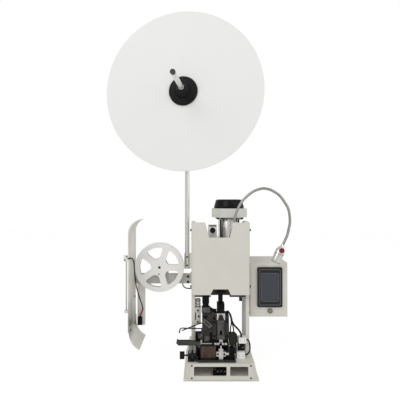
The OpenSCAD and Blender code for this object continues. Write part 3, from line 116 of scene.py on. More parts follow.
class CrimperSizes(bpy.types.PropertyGroup):
    edge: length_prop("Edge round", "Round on the edges of sheet and plate", 0.0009)
    cast_edge: length_prop("Casting edge", "Round on the edges of castings", 0.0022)
    fine_edge: length_prop("Fine edge", "Round on the edges of small machined parts", 0.0004)
    screw: length_prop("Screw head", "Radius of a common socket head", 0.004)
    rib_pitch: length_prop("Rib pitch", "Pitch of the ribs of the gooseneck", 0.0014)


class CrimperStage(bpy.types.PropertyGroup):
    camera_x: length_prop("Camera X", "Place of the camera, to the right", -0.068, -1)
    distance: length_prop("Camera distance", "Distance of the camera in front of the origin", 1.27)
    height: length_prop("Camera height", "Height of the camera", 0.573)
    lens: number_prop("Lens", "Focal length in millimetres", 31.5, 1)
    key: number_prop("Key light", "Power of the key light in watts", 26)
    fill: number_prop("Fill light", "Power of the fill light in watts", 11.5)
    sky: number_prop("Surround", "Strength of the pale surround", 0.62)


# Shader expressions


class Term:
    """A socket of a shader tree that takes part in Python arithmetic."""

    def __init__(self, shading, socket):
        self.shading = shading
        self.socket = socket

    def maths(self, operation, *values):
        return self.shading.node("ShaderNodeMath", {"operation": operation}, dict(enumerate(values)))

    def __add__(self, other):
        return self.maths("ADD", self, other)

    __radd__ = __add__

    def __sub__(self, other):
        return self.maths("SUBTRACT", self, other)

    def __rsub__(self, other):
        return self.maths("SUBTRACT", other, self)

    def __mul__(self, other):
        return self.maths("MULTIPLY", self, other)

    __rmul__ = __mul__

    def above(self, limit):
        return self.maths("GREATER_THAN", self, limit)

    def between(self, low, high):
        """Runs smoothly from 0 at low to 1 at high."""
        sockets = {"Value": self, "From Min": low, "From Max": high}
        return self.shading.node("ShaderNodeMapRange", {"interpolation_type": "SMOOTHSTEP"}, sockets)


class Shading:
    """A shader tree built from expressions."""

    def __init__(self, tree):
        self.tree = tree

    def put(self, socket, value):
        if isinstance(value, Term):
            self.tree.links.new(value.socket, socket)
        else:
            socket.default_value = value

    def node(self, kind, settings, sockets, output=0):
        made = self.tree.nodes.new(kind)
        for key, value in settings.items():
            setattr(made, key, value)
        for key, value in sockets.items():
            self.put(made.inputs[key], value)
        return Term(self, made.outputs[output])

    def ray(self, kind):
        return self.node("ShaderNodeLightPath", {}, {}, kind)


class Finish(Shading):
    """A material made from expressions on object coordinates."""

    def __init__(self, name):
        self.material = bpy.data.materials.new(name)
        self.material.use_nodes = True
        super().__init__(self.material.node_tree)
        self.shader = self.tree.nodes["Principled BSDF"]

    def place(self, stretch=(1, 1, 1)):
        """Object coordinates, each axis stretched."""
        here = self.node("ShaderNodeTexCoord", {}, {}, "Object")
        return self.node("ShaderNodeVectorMath", {"operation": "MULTIPLY"}, {0: here, 1: stretch})

    def axis(self, letter):
        return self.node("ShaderNodeSeparateXYZ", {}, {0: self.place()}, letter)

    def noise(self, scale, detail=3.0, roughness=0.55, stretch=(1, 1, 1)):
        sockets = {"Vector": self.place(stretch), "Scale": scale, "Detail": detail, "Roughness": roughness}
        return self.node("ShaderNodeTexNoise", {}, sockets)

    def blend(self, share, low, high):
        """A colour between two others, through the colour sockets 6, 7 and 2 of a Mix node."""
        return self.node("ShaderNodeMix", {"data_type": "RGBA"}, {0: share, 6: low, 7: high}, 2)

    def bump(self, height, distance, strength=1.0):
        sockets = {"Height": height, "Distance": distance, "Strength": strength}
        self.put(self.shader.inputs["Normal"], self.node("ShaderNodeBump", {}, sockets))

    def set(self, **sockets):
        for key, value in sockets.items():
            self.put(self.shader.inputs[key.replace("_", " ")], value)
        return self.material


def shade(colour, share):
    """The colour made darker or lighter by a share."""
    return tuple(min(1.0, c * share) for c in colour[:3]) + (1.0,)


FINISHES = {}


def finish(name, maker, *arguments):
    """The named material, made once."""
    if name not in FINISHES:
        FINISHES[name] = maker(Finish(name), *arguments)
    return FINISHES[name]


def powder_coat(f, colour, gloss=0.42):
    """Powder paint: a faint orange peel, soft clouds of tone and a little handling grime."""
    clouds = f.noise(9.0, 4.0).between(0.35, 0.7)
    grime = f.noise(46.0, 6.0, 0.7).between(0.58, 0.86)
    base = f.blend(clouds * 0.6, colour, shade(colour, 0.93))
    base = f.blend(grime * 0.22, base, shade(colour, 0.66))
    peel = f.noise(620.0, 2.0)
    f.bump(peel, 0.00012, 0.35)
    return f.set(Base_Color=base, Roughness=gloss + grime * 0.14 + peel * 0.05)


def machined(f, colour, rough=0.34):
    """Ground or milled steel: fine marks along one way, oil stains and small scratches."""
    grain = f.noise(60.0, 5.0, 0.65, (1, 1, 30))
    stain = f.noise(70.0, 4.0, 0.6).between(0.45, 0.75)
    scratch = f.noise(900.0, 2.0, 0.5, (1, 1, 0.04)).between(0.66, 0.72)
    base = f.blend(grain.between(0.3, 0.7) * 0.5, shade(colour, 0.82), shade(colour, 1.12))
    base = f.blend(stain * 0.45, base, shade(colour, 0.55))
    base = f.blend(scratch * 0.4, base, shade(colour, 1.5))
    f.bump(grain, 0.00006, 0.6)
    return f.set(Base_Color=base, Roughness=rough + stain * 0.2 + grain * 0.12, Metallic=1.0)


def polished(f, colour, rough=0.16, lay=(1, 1, 40)):
    """Turned and polished metal with faint tool rings."""
    rings = f.noise(36.0, 4.0, 0.6, lay)
    haze = f.noise(22.0, 4.0).between(0.4, 0.8)
    base = f.blend(rings.between(0.35, 0.65) * 0.4, shade(colour, 0.9), shade(colour, 1.06))
    base = f.blend(haze * 0.15, base, shade(colour, 0.72))
    f.bump(rings, 0.00003, 0.5)
    return f.set(Base_Color=base, Roughness=rough + haze * 0.1 + rings * 0.08, Metallic=1.0)


def tipped_rod(f, colour, tip, start):
    """Polished rod whose front end, in front of a place on Y, is blackened."""
    rings = f.noise(30.0, 4.0, 0.6, (1, 6, 1)).between(0.35, 0.65)
    bare = f.axis("Y").above(start)
    base = f.blend(rings * 0.3, colour, shade(colour, 0.8))
    return f.set(Base_Color=f.blend(bare, tip, base), Roughness=0.2 + rings * 0.1, Metallic=bare * 0.9)


def drawn_rod(f, colour):
    """Drawn and chromed rod with long soft dark streaks of painted reflection."""
    reflection_streak = f.noise(16.0, 1.0, 0.5, (9, 9, 0.05)).between(0.38, 0.62)
    haze = f.noise(8.0, 1.0).between(0.3, 0.8)
    # The dark streaks are painted reflection down the chrome.
    base = f.blend(reflection_streak * 0.45, colour, shade(colour, 0.55))
    return f.set(Base_Color=base, Roughness=0.22 + haze * 0.06, Metallic=1.0)


def cast_alloy(f, colour):
    """Blasted light-alloy casting with a fine sandy skin and darker patches."""
    skin = f.noise(520.0, 3.0, 0.6)
    patch = f.noise(40.0, 4.0).between(0.5, 0.8)
    base = f.blend(patch * 0.25, colour, shade(colour, 0.7))
    f.bump(skin, 0.0001, 0.5)
    return f.set(Base_Color=base, Roughness=0.42 + patch * 0.15, Metallic=0.35)


def black_oxide(f, colour):
    """Blackened and oiled steel, rubbed brighter in places."""
    rub = f.noise(90.0, 5.0, 0.65).between(0.55, 0.82)
    grain = f.noise(480.0, 3.0)
    base = f.blend(rub * 0.22, colour, linear("3C3A39"))
    f.bump(grain, 0.00008, 0.5)
    rough = 0.4 + rub * 0.15 + grain * 0.1
    return f.set(Base_Color=base, Roughness=rough, Metallic=0.2, Specular_IOR_Level=0.18)


def moulded(f, colour, rough=0.48, grain_share=0.35, shine=0.5):
    """Moulded plastic with a fine spark-eroded grain."""
    grain = f.noise(760.0, 2.0, 0.6)
    dust = f.noise(38.0, 5.0, 0.7).between(0.5, 0.85)
    base = f.blend(dust * 0.05, colour, linear("8C8A84"))
    f.bump(grain, 0.0001, grain_share)
    return f.set(Base_Color=base, Roughness=rough + dust * 0.12 + grain * 0.06, Specular_IOR_Level=shine)


def dark_moulding(f, colour):
    """Dark moulded plastic, which mirrors little of the pale room."""
    return moulded(f, colour, 0.5, 0.35, 0.22)


def gloss_moulding(f, colour, rough=0.12):
    """Glossy plastic, faintly uneven and finger-marked."""
    smear = f.noise(30.0, 4.0, 0.6).between(0.45, 0.8)
    ripple = f.noise(24.0, 1.0)
    f.bump(ripple, 0.0003, 0.12)
    base = f.blend(smear * 0.04, colour, linear("55565A"))
    return f.set(Base_Color=base, Roughness=rough + smear * 0.16, Coat_Weight=0.2, Specular_IOR_Level=0.35)


def reel_board(f, colour):
    """Matt white board with a paper tooth."""
    tooth = f.noise(380.0, 3.0, 0.6)
    clouds = f.noise(4.0, 3.0).between(0.3, 0.7)
    base = f.blend(clouds * 0.5, colour, shade(colour, 0.975))
    f.bump(tooth, 0.0001, 0.2)
    return f.set(Base_Color=base, Roughness=0.62 + tooth * 0.1)


def chute_sheet(f, colour):
    """Brushed stainless sheet with olive clouds and long scratches, and a band of painted shade and painted
    reflection round its middle, stronger on its front part.
    """
    brush = f.noise(70.0, 4.0, 0.6, (1, 24, 1))
    clouds = f.noise(13.0, 3.0).between(0.38, 0.68)
    scratch = f.noise(420.0, 2.0, 0.5, (0.05, 0.05, 1)).between(0.68, 0.74)
    height = f.axis("Z")
    foot = 1 - height.between(0.09, 0.17)
    front = 1 - f.axis("Y").between(-0.1, -0.05)
    # A band of painted shade and painted reflection round the middle of the chute, stronger towards the
    # front.
    painted_shade_band = height.between(0.12, 0.15) * (1 - height.between(0.17, 0.31)) * (front * 0.55 + 0.25)
    base = f.blend(clouds * 0.3 + foot * 0.35, colour, linear("A5A28C"))
    base = f.blend(brush.between(0.3, 0.7) * 0.3, base, shade(colour, 1.12))
    # Darkens the sheet by the band of painted shade and reflection.
    base = f.blend(painted_shade_band * (clouds * 0.4 + 0.75), base, shade(colour, 0.16))
    base = f.blend(scratch * 0.3, base, shade(colour, 1.4))
    f.bump(brush, 0.00005, 0.6)
    return f.set(Base_Color=base, Roughness=0.36 + clouds * 0.14 + brush * 0.08, Metallic=0.35)


def laminate(f, colour):
    """Brown bonded laminate with layer lines and worn, coppery spots."""
    layers = f.noise(50.0, 4.0, 0.7, (1, 1, 14))
    worn = f.noise(90.0, 4.0).between(0.5, 0.7)
    base = f.blend(layers.between(0.35, 0.65), shade(colour, 0.72), shade(colour, 1.25))
    base = f.blend(worn * 0.5, base, linear("8A6A58"))
    f.bump(layers, 0.0001, 0.5)
    return f.set(Base_Color=base, Roughness=0.42 + worn * 0.2, Metallic=0.25)


def display_glass(f, colour):
    """Unlit display: dark glass, a slightly lighter panel of pixels and faint smears."""
    panel = f.noise(6.0, 2.0).between(0.3, 0.8)
    rows = f.node("ShaderNodeTexWave", {"bands_direction": "Z"}, {"Vector": f.place(), "Scale": 260.0})
    base = f.blend(panel * 0.5, colour, linear("2C3644"))
    base = f.blend(rows * 0.15, base, shade(colour, 0.8))
    return f.set(Base_Color=base, Roughness=0.1 + panel * 0.08, Coat_Weight=0.6)


def cable_sheath(f, colour):
    """Soft cable sheath, faintly ribbed and dusty."""
    ribs = f.noise(320.0, 3.0)
    dust = f.noise(60.0, 4.0).between(0.45, 0.8)
    base = f.blend(dust * 0.15, colour, linear("3A3A3C"))
    f.bump(ribs, 0.0001, 0.4)
    return f.set(Base_Color=base, Roughness=0.5 + dust * 0.15, Specular_IOR_Level=0.25)


MAKERS = {
    "ivory_paint": (powder_coat, "paint"),
    "head_casting": (powder_coat, "casting"),
    "polished_aluminium": (polished, "aluminium"),
    "bright_steel": (machined, "bright_steel"),
    "chromed_steel": (polished, "bright_steel"),
    "blackened_steel": (black_oxide, "black"),
    "tool_steel": (machined, "dark_steel"),
    "bronze": (machined, "bronze"),
    "brass_plate": (polished, "brass"),
    "black_plastic": (dark_moulding, "black"),
    "gloss_black": (gloss_moulding, "black"),
    "white_plastic": (moulded, "white"),
    "white_sheet": (reel_board, "board"),
    "chute_steel": (chute_sheet, "chute"),
    "red_plastic": (gloss_moulding, "red"),
    "screen_glass": (display_glass, "glass"),
    "cable_rubber": (cable_sheath, "black"),
    "brown_phenolic": (laminate, "bronze"),
}


def chosen(name):
    """A colour of the panel, by its name."""
    return tuple(getattr(bpy.context.scene.crimper_colours, name))


def finish_for(slot):
    """The material of one of the record's slots."""
    maker, colour = MAKERS[slot]
    return finish(slot, maker, chosen(colour))


# Places and outlines


def metres(*points):
    """Places given in millimetres, as vectors in metres."""
    return [Vector(point) * MM for point in points]


def spread(count, start, end):
    """Evenly spread points from one place to another, in millimetres."""
    start, end = metres(start, end)
    return [start.lerp(end, k / (count - 1)) for k in range(count)]


def turns(count):
    """The angles of evenly spread places round a circle."""
    return [2 * math.pi * k / count for k in range(count)]


def box_of(node):
    """The lowest corner, the middle and the highest corner of a CAD node."""
    low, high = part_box(node)
    return low, (low + high) / 2, high


def face_corners(low, high, inset, y, left=0):
    """Places near the four corners of an upright face."""
    across = (low.x + inset + left, high.x - inset)
    return [(x, y, z) for x in across for z in (low.z + inset, high.z - inset)]


def bend(start, corner, end, t):
    """A point of the curve from start to end that leans to the corner."""
    return start * (1 - t) ** 2 + corner * 2 * t * (1 - t) + end * t**2


def rounded(profile, radius, steps=4):
    """The profile with every inner corner rounded by about the given radius."""
    out = [profile[0]]
    for before, corner, after in zip(profile, profile[1:], profile[2:]):
        corner = Vector(corner)
        back, ahead = Vector(before) - corner, Vector(after) - corner
        cut = min(radius, back.length * 0.45, ahead.length * 0.45)
        start, end = corner + back.normalized() * cut, corner + ahead.normalized() * cut
        out += [tuple(bend(start, corner, end, k / steps)) for k in range(steps + 1)]
    out.append(profile[-1])
    return out


def disc(radius, foot, top, edge):
    """The profile of a plain round piece."""
    return rounded([(0, foot), (radius, foot), (radius, top), (0, top)], edge)


def ring(inner, outer, height, edge):
    """The profile of a plain ring."""
    return rounded([(inner, 0), (outer, 0), (outer, height), (inner, height), (inner, 0)], edge)


def smooth_path(points, steps=8):
    """Points, in metres, of a smooth curve through points in millimetres."""
    points = metres(*points)
    out = []
    for i in range(len(points) - 1):
        a, b, c, d = points[max(i - 1, 0)], points[i], points[i + 1], points[min(i + 2, len(points) - 1)]
        for k in range(steps):
            t = k / steps
            out.append((
                2 * b + (c - a) * t + (2 * a - 5 * b + 4 * c - d) * t**2 + (3 * b - a - 3 * c + d) * t**3
            ) / 2)
    out.append(points[-1])
    return out


def path_length(points):
    return sum((b - a).length for a, b in zip(points, points[1:]))


# Mesh helpers


def add_piece(name, mesh, body, slot, material=None, nodes=()):
    """Links a finished mesh as a piece that rides a body, and stands for any CAD nodes named."""
    piece = bpy.data.objects.new(name, mesh)
    bpy.context.scene.collection.objects.link(piece)
    mesh.materials.clear()
    mesh.materials.append(material or finish_for(slot))
    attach(piece, body)
    if nodes:
        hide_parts(*nodes)
    return piece


def to_mesh(name, made, sharp=SHARP_ANGLE):
    mesh = bpy.data.meshes.new(name)
    made.to_mesh(mesh)
    made.free()
    mesh.shade_smooth()
    mesh.set_sharp_from_angle(angle=sharp)
    return mesh


def round_edges(piece, width):
    bevel = piece.modifiers.new("edge_round", "BEVEL")
    bevel.width = width
    bevel.segments = 2
    bevel.limit_method = "ANGLE"
    bevel.angle_limit = BEVEL_ANGLE
    bevel.use_clamp_overlap = True
    bevel.harden_normals = True


def dress(node, width, material=None):
    """A copy of a CAD node, merged, with its edges rounded, that stands for the node."""
    made = bmesh.new()
    made.from_mesh(frame["nodes"][node].data)
    bmesh.ops.remove_doubles(made, verts=made.verts, dist=MERGE_DISTANCE)
    bmesh.ops.dissolve_limit(
        made, angle_limit=FLAT_ANGLE, verts=made.verts, edges=made.edges, use_dissolve_boundaries=False
    )
    bmesh.ops.triangulate(made, faces=[f for f in made.faces if len(f.verts) > MOST_CORNERS])
    name = node + "_dressed"
    piece = add_piece(name, to_mesh(name, made), BODY_OF[node], SLOT_OF[node], material, [node])
    if width:
        round_edges(piece, width)


def dress_all(width, nodes, own=None):
    """Dresses several CAD nodes, some in a material of their own."""
    for node in nodes:
        dress(node, width, (own or {}).get(node))


def bridge(made, rings):
    """Faces from each ring of corners to the next. A ring may be a single point."""
    for low, high in zip(rings, rings[1:]):
        for k in range(max(len(low), len(high))):
            here, there = k % len(low), (k + 1) % len(low)
            corners = [low[here], low[there], high[(k + 1) % len(high)], high[k % len(high)]]
            unique = list(dict.fromkeys(corners))
            if len(unique) > 2:
                made.faces.new(unique)


def turned(name, profile, origin, direction, slot="blackened_steel", body="root"):
    """A closed turned form. Its profile is (radius, distance along the direction), all in millimetres."""
    made = bmesh.new()
    rings = []
    closed = profile[0] == profile[-1]
    for radius, along in profile[:-1] if closed else profile:
        around = [(math.cos(a), math.sin(a)) for a in turns(64)] if radius else [(0, 0)]
        rings.append([made.verts.new((radius * MM * x, radius * MM * y, along * MM)) for x, y in around])
    bridge(made, rings + rings[:1] if closed else rings)
    ends = [] if closed else [rings[0], rings[-1]]
    for end in ends:
        if len(end) > 1:
            made.faces.new(end)
    bmesh.ops.recalc_face_normals(made, faces=made.faces)
    turn = direction.to_track_quat("Z", "Y").to_matrix().to_4x4()
    made.transform(Matrix.Translation(Vector(origin) * MM) @ turn)
    add_piece(name, to_mesh(name, made), body, slot)


def block(name, low, high, slot, width=0.0004, material=None, body="root"):
    """A box with rounded edges, from its lowest and highest corners in millimetres."""
    made = bmesh.new()
    bmesh.ops.create_cube(made, size=1)
    low, high = metres(low, high)
    for vert in made.verts:
        vert.co = Vector([low[i] if vert.co[i] < 0 else high[i] for i in range(3)])
    round_edges(add_piece(name, to_mesh(name, made), body, slot, material), width)


def tube(name, points, radius, slot, material=None, nodes=()):
    """A closed round tube along points in metres, on the body that stands still."""
    made = bmesh.new()
    rings = []
    side = None
    for i, point in enumerate(points):
        along = (points[min(i + 1, len(points) - 1)] - points[max(i - 1, 0)]).normalized()
        side = along.orthogonal() if side is None else side - along * side.dot(along)
        side.normalize()
        over = along.cross(side)
        spokes = [side * math.cos(a) + over * math.sin(a) for a in turns(12)]
        rings.append([made.verts.new(point + radius * spoke) for spoke in spokes])
    bridge(made, rings)
    made.faces.new(rings[0])
    made.faces.new(rings[-1])
    bmesh.ops.recalc_face_normals(made, faces=made.faces)
    return add_piece(name, to_mesh(name, made, TUBE_ANGLE), "root", slot, material, nodes)


# Geometry Nodes


class Recipe:
    """A Geometry Nodes tree with named sizes."""

    def __init__(self, name, **sizes):
        self.tree = bpy.data.node_groups.new(name, "GeometryNodeTree")
        for way in ("INPUT", "OUTPUT"):
            self.tree.interface.new_socket("Geometry", in_out=way, socket_type="NodeSocketGeometry")
        self.start = self.tree.nodes.new("NodeGroupInput")
        self.end = self.tree.nodes.new("NodeGroupOutput")
        for label, default in sizes.items():
            kind = "NodeSocketInt" if isinstance(default, int) else "NodeSocketFloat"
            self.tree.interface.new_socket(label, in_out="INPUT", socket_type=kind).default_value = default
        self.tree.interface.new_socket("Material", in_out="INPUT", socket_type="NodeSocketMaterial")

    def given(self, name):
        return self.start.outputs[name]

    def put(self, socket, value):
        if isinstance(value, bpy.types.NodeSocket):
            self.tree.links.new(value, socket)
        else:
            socket.default_value = value

    def node(self, kind, settings=None, **sockets):
        made = self.tree.nodes.new(kind)
        for key, value in (settings or {}).items():
            setattr(made, key, value)
        for key, value in sockets.items():
            self.put(made.inputs[key.replace("_", " ")], value)
        return made

    def maths(self, operation, *values):
        made = self.node("ShaderNodeMath", {"operation": operation})
        for socket, value in zip(made.inputs, values):
            self.put(socket, value)
        return made.outputs[0]

    def finish(self, geometry):
        """Ends the tree in real geometry with its material."""
        real = self.node("GeometryNodeRealizeInstances", Geometry=geometry).outputs[0]
        painted = self.node("GeometryNodeSetMaterial", Geometry=real, Material=self.given("Material"))
        self.tree.links.new(painted.outputs[0], self.end.inputs[0])
        return self.tree

    def copies(self, instance, axis):
        """Ends the tree in a copy on every point, with one axis turned to where the point faces."""
        facing = self.node("GeometryNodeInputNamedAttribute", {"data_type": "FLOAT_VECTOR"}, Name="facing")
        turn = self.node("FunctionNodeAlignRotationToVector", {"axis": axis}, Vector=facing.outputs[0])
        copies = self.node(
            "GeometryNodeInstanceOnPoints", Points=self.given("Geometry"), Instance=instance,
            Rotation=turn.outputs[0],
        )
        return self.finish(copies.outputs[0])

    def swept(self, curve, section, **sockets):
        """A smooth closed tube of a section along a curve."""
        wall = self.node(
            "GeometryNodeCurveToMesh", Curve=curve.outputs[0], Profile_Curve=section.outputs[0],
            Fill_Caps=True, **sockets,
        )
        return self.node("GeometryNodeSetShadeSmooth", Geometry=wall.outputs[0]).outputs[0]


def socket_screws():
    """Socket-head screws: a round head with a dished key socket on every point."""
    r = Recipe("socket_screws", Radius=0.004, Height=0.004, Socket=0.5, Sides=20)
    sides, radius, height, socket = (r.given(name) for name in ("Sides", "Radius", "Height", "Socket"))
    head = r.node("GeometryNodeMeshCylinder", Vertices=sides, Radius=radius, Depth=height)
    lift = r.node("ShaderNodeCombineXYZ", Z=r.maths("MULTIPLY", height, 0.5))
    raised = r.node("GeometryNodeTransform", Geometry=head.outputs["Mesh"], Translation=lift.outputs[0])
    top = head.outputs["Top"]
    rim = r.node("GeometryNodeExtrudeMesh", Mesh=raised.outputs[0], Selection=top, Offset_Scale=0.0)
    top = rim.outputs["Top"]
    dish = r.node("GeometryNodeScaleElements", Geometry=rim.outputs["Mesh"], Selection=top, Scale=socket)
    depth = r.maths("MULTIPLY", height, -0.55)
    well = r.node("GeometryNodeExtrudeMesh", Mesh=dish.outputs[0], Selection=top, Offset_Scale=depth)
    return r.copies(well.outputs["Mesh"], "Z")


def straight_slats():
    """Straight slats, side by side, each lying along its point's direction."""
    r = Recipe("straight_slats", Length=0.05, Width=0.004, Depth=0.001)
    size = r.node("ShaderNodeCombineXYZ", X=r.given("Length"), Y=r.given("Width"), Z=r.given("Depth"))
    slat = r.node("GeometryNodeMeshCube", Size=size.outputs[0])
    return r.copies(slat.outputs["Mesh"], "X")


def coil_springs():
    """Coil springs: round wire wound about the facing direction of every point."""
    r = Recipe("coil_springs", Radius=0.004, Wire=0.0005, Height=0.02, Turns=10.0)
    radius = r.given("Radius")
    coil = r.node(
        "GeometryNodeCurveSpiral", Resolution=16, Rotations=r.given("Turns"), Height=r.given("Height"),
        Start_Radius=radius, End_Radius=radius,
    )
    section = r.node("GeometryNodeCurvePrimitiveCircle", Resolution=6, Radius=r.given("Wire"))
    return r.copies(r.swept(coil, section), "Z")


def ribbed_tube():
    """A tube along a curve whose radius swells at every rib."""
    r = Recipe("ribbed_tube", Radius=0.0045, Pitch=0.0024, Depth=0.0006, Steps=0.0004)
    curve = r.node(
        "GeometryNodeResampleCurve", {"mode": "LENGTH"}, Curve=r.given("Geometry"), Length=r.given("Steps")
    )
    along = r.node("GeometryNodeSplineParameter").outputs["Length"]
    angle = r.maths("MULTIPLY", r.maths("DIVIDE", along, r.given("Pitch")), 2 * math.pi)
    swell = r.maths("ADD", r.maths("SINE", angle), -1.0)
    swell = r.maths("MULTIPLY", swell, r.maths("MULTIPLY", r.given("Depth"), 0.5))
    width = r.maths("ADD", swell, r.given("Radius"))
    circle = r.node("GeometryNodeCurvePrimitiveCircle", Resolution=16, Radius=1.0)
    return r.finish(r.swept(curve, circle, Scale=width))


TREES = {}


def grow(name, source, recipe, sizes, body, slot, material=None, nodes=()):
    """Runs a recipe on a source mesh or curve, and keeps the result as a plain mesh."""
    if recipe not in TREES:
        TREES[recipe] = recipe()
    carrier = bpy.data.objects.new(name + "_source", source)
    bpy.context.scene.collection.objects.link(carrier)
    modifier = carrier.modifiers.new("recipe", "NODES")
    modifier.node_group = TREES[recipe]
    material = material or finish_for(slot)
    named = {**sizes, "Material": material}
    for item in TREES[recipe].interface.items_tree:
        if item.in_out == "INPUT" and item.name in named:
            modifier[item.identifier] = named[item.name]
    bpy.context.view_layer.update()
    evaluated = carrier.evaluated_get(bpy.context.evaluated_depsgraph_get())
    mesh = bpy.data.meshes.new_from_object(evaluated)
    carrier.modifiers.remove(modifier)
    bpy.data.objects.remove(carrier)
    mesh.name = name
    mesh.set_sharp_from_angle(angle=SHARP_ANGLE)
    add_piece(name, mesh, body, slot, material, nodes)


def point_cloud(name, points, directions):
    """A mesh of points that face each a direction of their own, or all the same one."""
    mesh = bpy.data.meshes.new(name)
    mesh.from_pydata([tuple(point) for point in points], [], [])
    if isinstance(directions, Vector):
        directions = [directions] * len(points)
    facing = mesh.attributes.new("facing", "FLOAT_VECTOR", "POINT")
    for value, direction in zip(facing.data, directions):
        value.vector = direction
    return mesh


def curve_source(name, points):
    data = bpy.data.curves.new(name, "CURVE")
    data.dimensions = "3D"
    spline = data.splines.new("POLY")
    spline.points.add(len(points) - 1)
    for target, point in zip(spline.points, points):
        target.co = (*point, 1.0)
    return data


def screws(name, points, facing, radius=None, height=None, slot="blackened_steel", sides=20, body="root"):
    radius = radius or bpy.context.scene.crimper_sizes.screw
    sizes = {"Radius": radius, "Height": height or radius, "Sides": sides}
    grow(name, point_cloud(name, points, facing), socket_screws, sizes, body, slot)


def slats(name, points, facing, length, width, depth, slot, material=None, body="root"):
    sizes = {"Length": length, "Width": width, "Depth": depth}
    grow(name, point_cloud(name, points, facing), straight_slats, sizes, body, slot, material)


# Operators


class PieceOperator:
    """What every operator that makes pieces shares."""

    bl_options = {"REGISTER"}

    def execute(self, context):
        self.make(context.scene.crimper_sizes)
        return {"FINISHED"}


class CRIMPER_OT_base(PieceOperator, bpy.types.Operator):
    """The base casting, its windowed front plate and the terminal block inside."""

    bl_idname = "crimper.base"
    bl_label = "Base"

    def make(self, sizes):
        dress("base_casting", sizes.cast_edge)
        dress("base_front_plate", sizes.edge)
        dress("base_terminal_block", sizes.fine_edge)
        low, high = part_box("base_front_plate")
        screws("front_plate_screws", face_corners(low, high, 0.006, low.y), FRONT, 0.0025, 0.0012)
        low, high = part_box("base_terminal_block")
        row = spread(3, (low.x / MM + 16, low.y / MM, 26), (high.x / MM - 5, low.y / MM, 26))
        screws("terminal_screws", row, FRONT, 0.0022, 0.0012, "brass_plate", 12)
        block("cable_clamp", (-27, -132, 8.2), (-17, -120, 20), "white_plastic")


class CRIMPER_OT_frame(PieceOperator, bpy.types.Operator):
    """The side plates, the head block, the front cover and their screws."""

    bl_idname = "crimper.frame"
    bl_label = "Frame"

    def make(self, sizes):
        # The head block, its underplates and the stop lug get a dark grey that paints the shade under the
        # front cover.
        iron = finish("head_shade_paint", powder_coat, chosen("iron"), 0.5)
        dress_all(sizes.edge, ("side_plate_left", "side_plate_right", "front_cover"))
        dress_all(sizes.cast_edge, ("head_block", "gearbox_housing"), {"head_block": iron})
        dress_all(0, ("crank_bushes", "machine_screws"))
        for side, x0, x1 in (("left", -84.3, -32), ("right", 32, 84.3)):
            block("head_underplate_" + side, (x0, -90, 253), (x1, -12, 260.2), "head_casting", 0.0006, iron)
        block("stop_lug", (64, -92, 240), (74, -82, 253.4), "head_casting", 0.0008, iron)
        screws("stop_screw", metres((69, -92, 245)), FRONT, 0.0032, 0.003)
        low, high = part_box("gearbox_housing")
        screws("gearbox_screws", face_corners(low, high, 0.009, high.y - 0.0071), AWAY)


class CRIMPER_OT_drive(PieceOperator, bpy.types.Operator):
    """The motor, its end bell and fan cover, the junction box, the crank, the slide and its guides."""

    bl_idname = "crimper.drive"
    bl_label = "Drive"

    def make(self, sizes):
        dress("motor_body", sizes.edge)
        dress("motor_end_bell", sizes.cast_edge, finish("cast_alloy", cast_alloy, chosen("aluminium")))
        dress("motor_fan_cover", sizes.edge, finish("fan_gloss", moulded, linear("040404"), 0.3, 0.2, 0.2))
        dress("junction_box", sizes.edge)
        dress_all(sizes.fine_edge, ("slide_guides", "press_ram", "crankshaft"))
        self.motor_trim()
        self.junction_trim()
        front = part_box("press_ram")[0].y
        places = [(x, front, 0.231) for x in (-0.0056, 0.0056)]
        screws("adapter_screws", places, FRONT, 0.003, 0.0015, body="ram")

    def motor_trim(self):
        low, mid, high = box_of("motor_body")
        radius = (high.x - low.x) / 2
        # Four dark rods down the motor body, which paint the dark bands of reflection on the polished body.
        rod = disc(3.2, low.z / MM + 1, high.z / MM, 0.3)
        for k in range(4):
            a = math.pi / 4 + k * math.pi / 2
            foot = ((mid.x + radius * math.cos(a)) / MM, (mid.y + radius * math.sin(a)) / MM, 0)
            turned("reflection_band_rod_%d" % k, rod, foot, UP)
        low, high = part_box("motor_end_bell")
        reach = (high.x - low.x) / 2 * 0.7
        flange = low.z + 0.008
        lugs = [(mid.x + sx * reach, mid.y + sy * reach, flange) for sx in (-1, 1) for sy in (-1, 1)]
        screws("end_bell_bolts", lugs, DOWN, 0.0045, 0.006)
        low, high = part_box("motor_fan_cover")
        radius = (high.x - low.x) / 2 * 0.5
        rim = [mid + radius * Vector((math.cos(a), math.sin(a), 0)) for a in turns(16)]
        outward = [Vector((p.x - mid.x, p.y - mid.y, 0)) for p in rim]
        top = [(p.x, p.y, high.z) for p in rim]
        slats("fan_cover_ribs", top, outward, 0.024, 0.003, 0.0012, "black_plastic")

    def junction_trim(self):
        low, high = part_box("junction_box")
        left, right, front, top = low.x / MM, high.x / MM, low.y / MM, high.z / MM
        plug = rounded([(0, 0), (9.5, 0), (9.5, 3), (7, 3), (7, 2), (0, 2)], 0.5)
        middle = (low.x + high.x) / 2 / MM
        turned("junction_plug", plug, (middle, front, top - 18), FRONT, "black_plastic")
        # A black strip at the top of the box's front: painted shade for the dark gap above the plug.
        low, high = (left + 1.5, front + 4, top - 5), (right - 1.5, front + 6.5, top - 1.5)
        block("junction_gap_shade", low, high, "black_plastic")


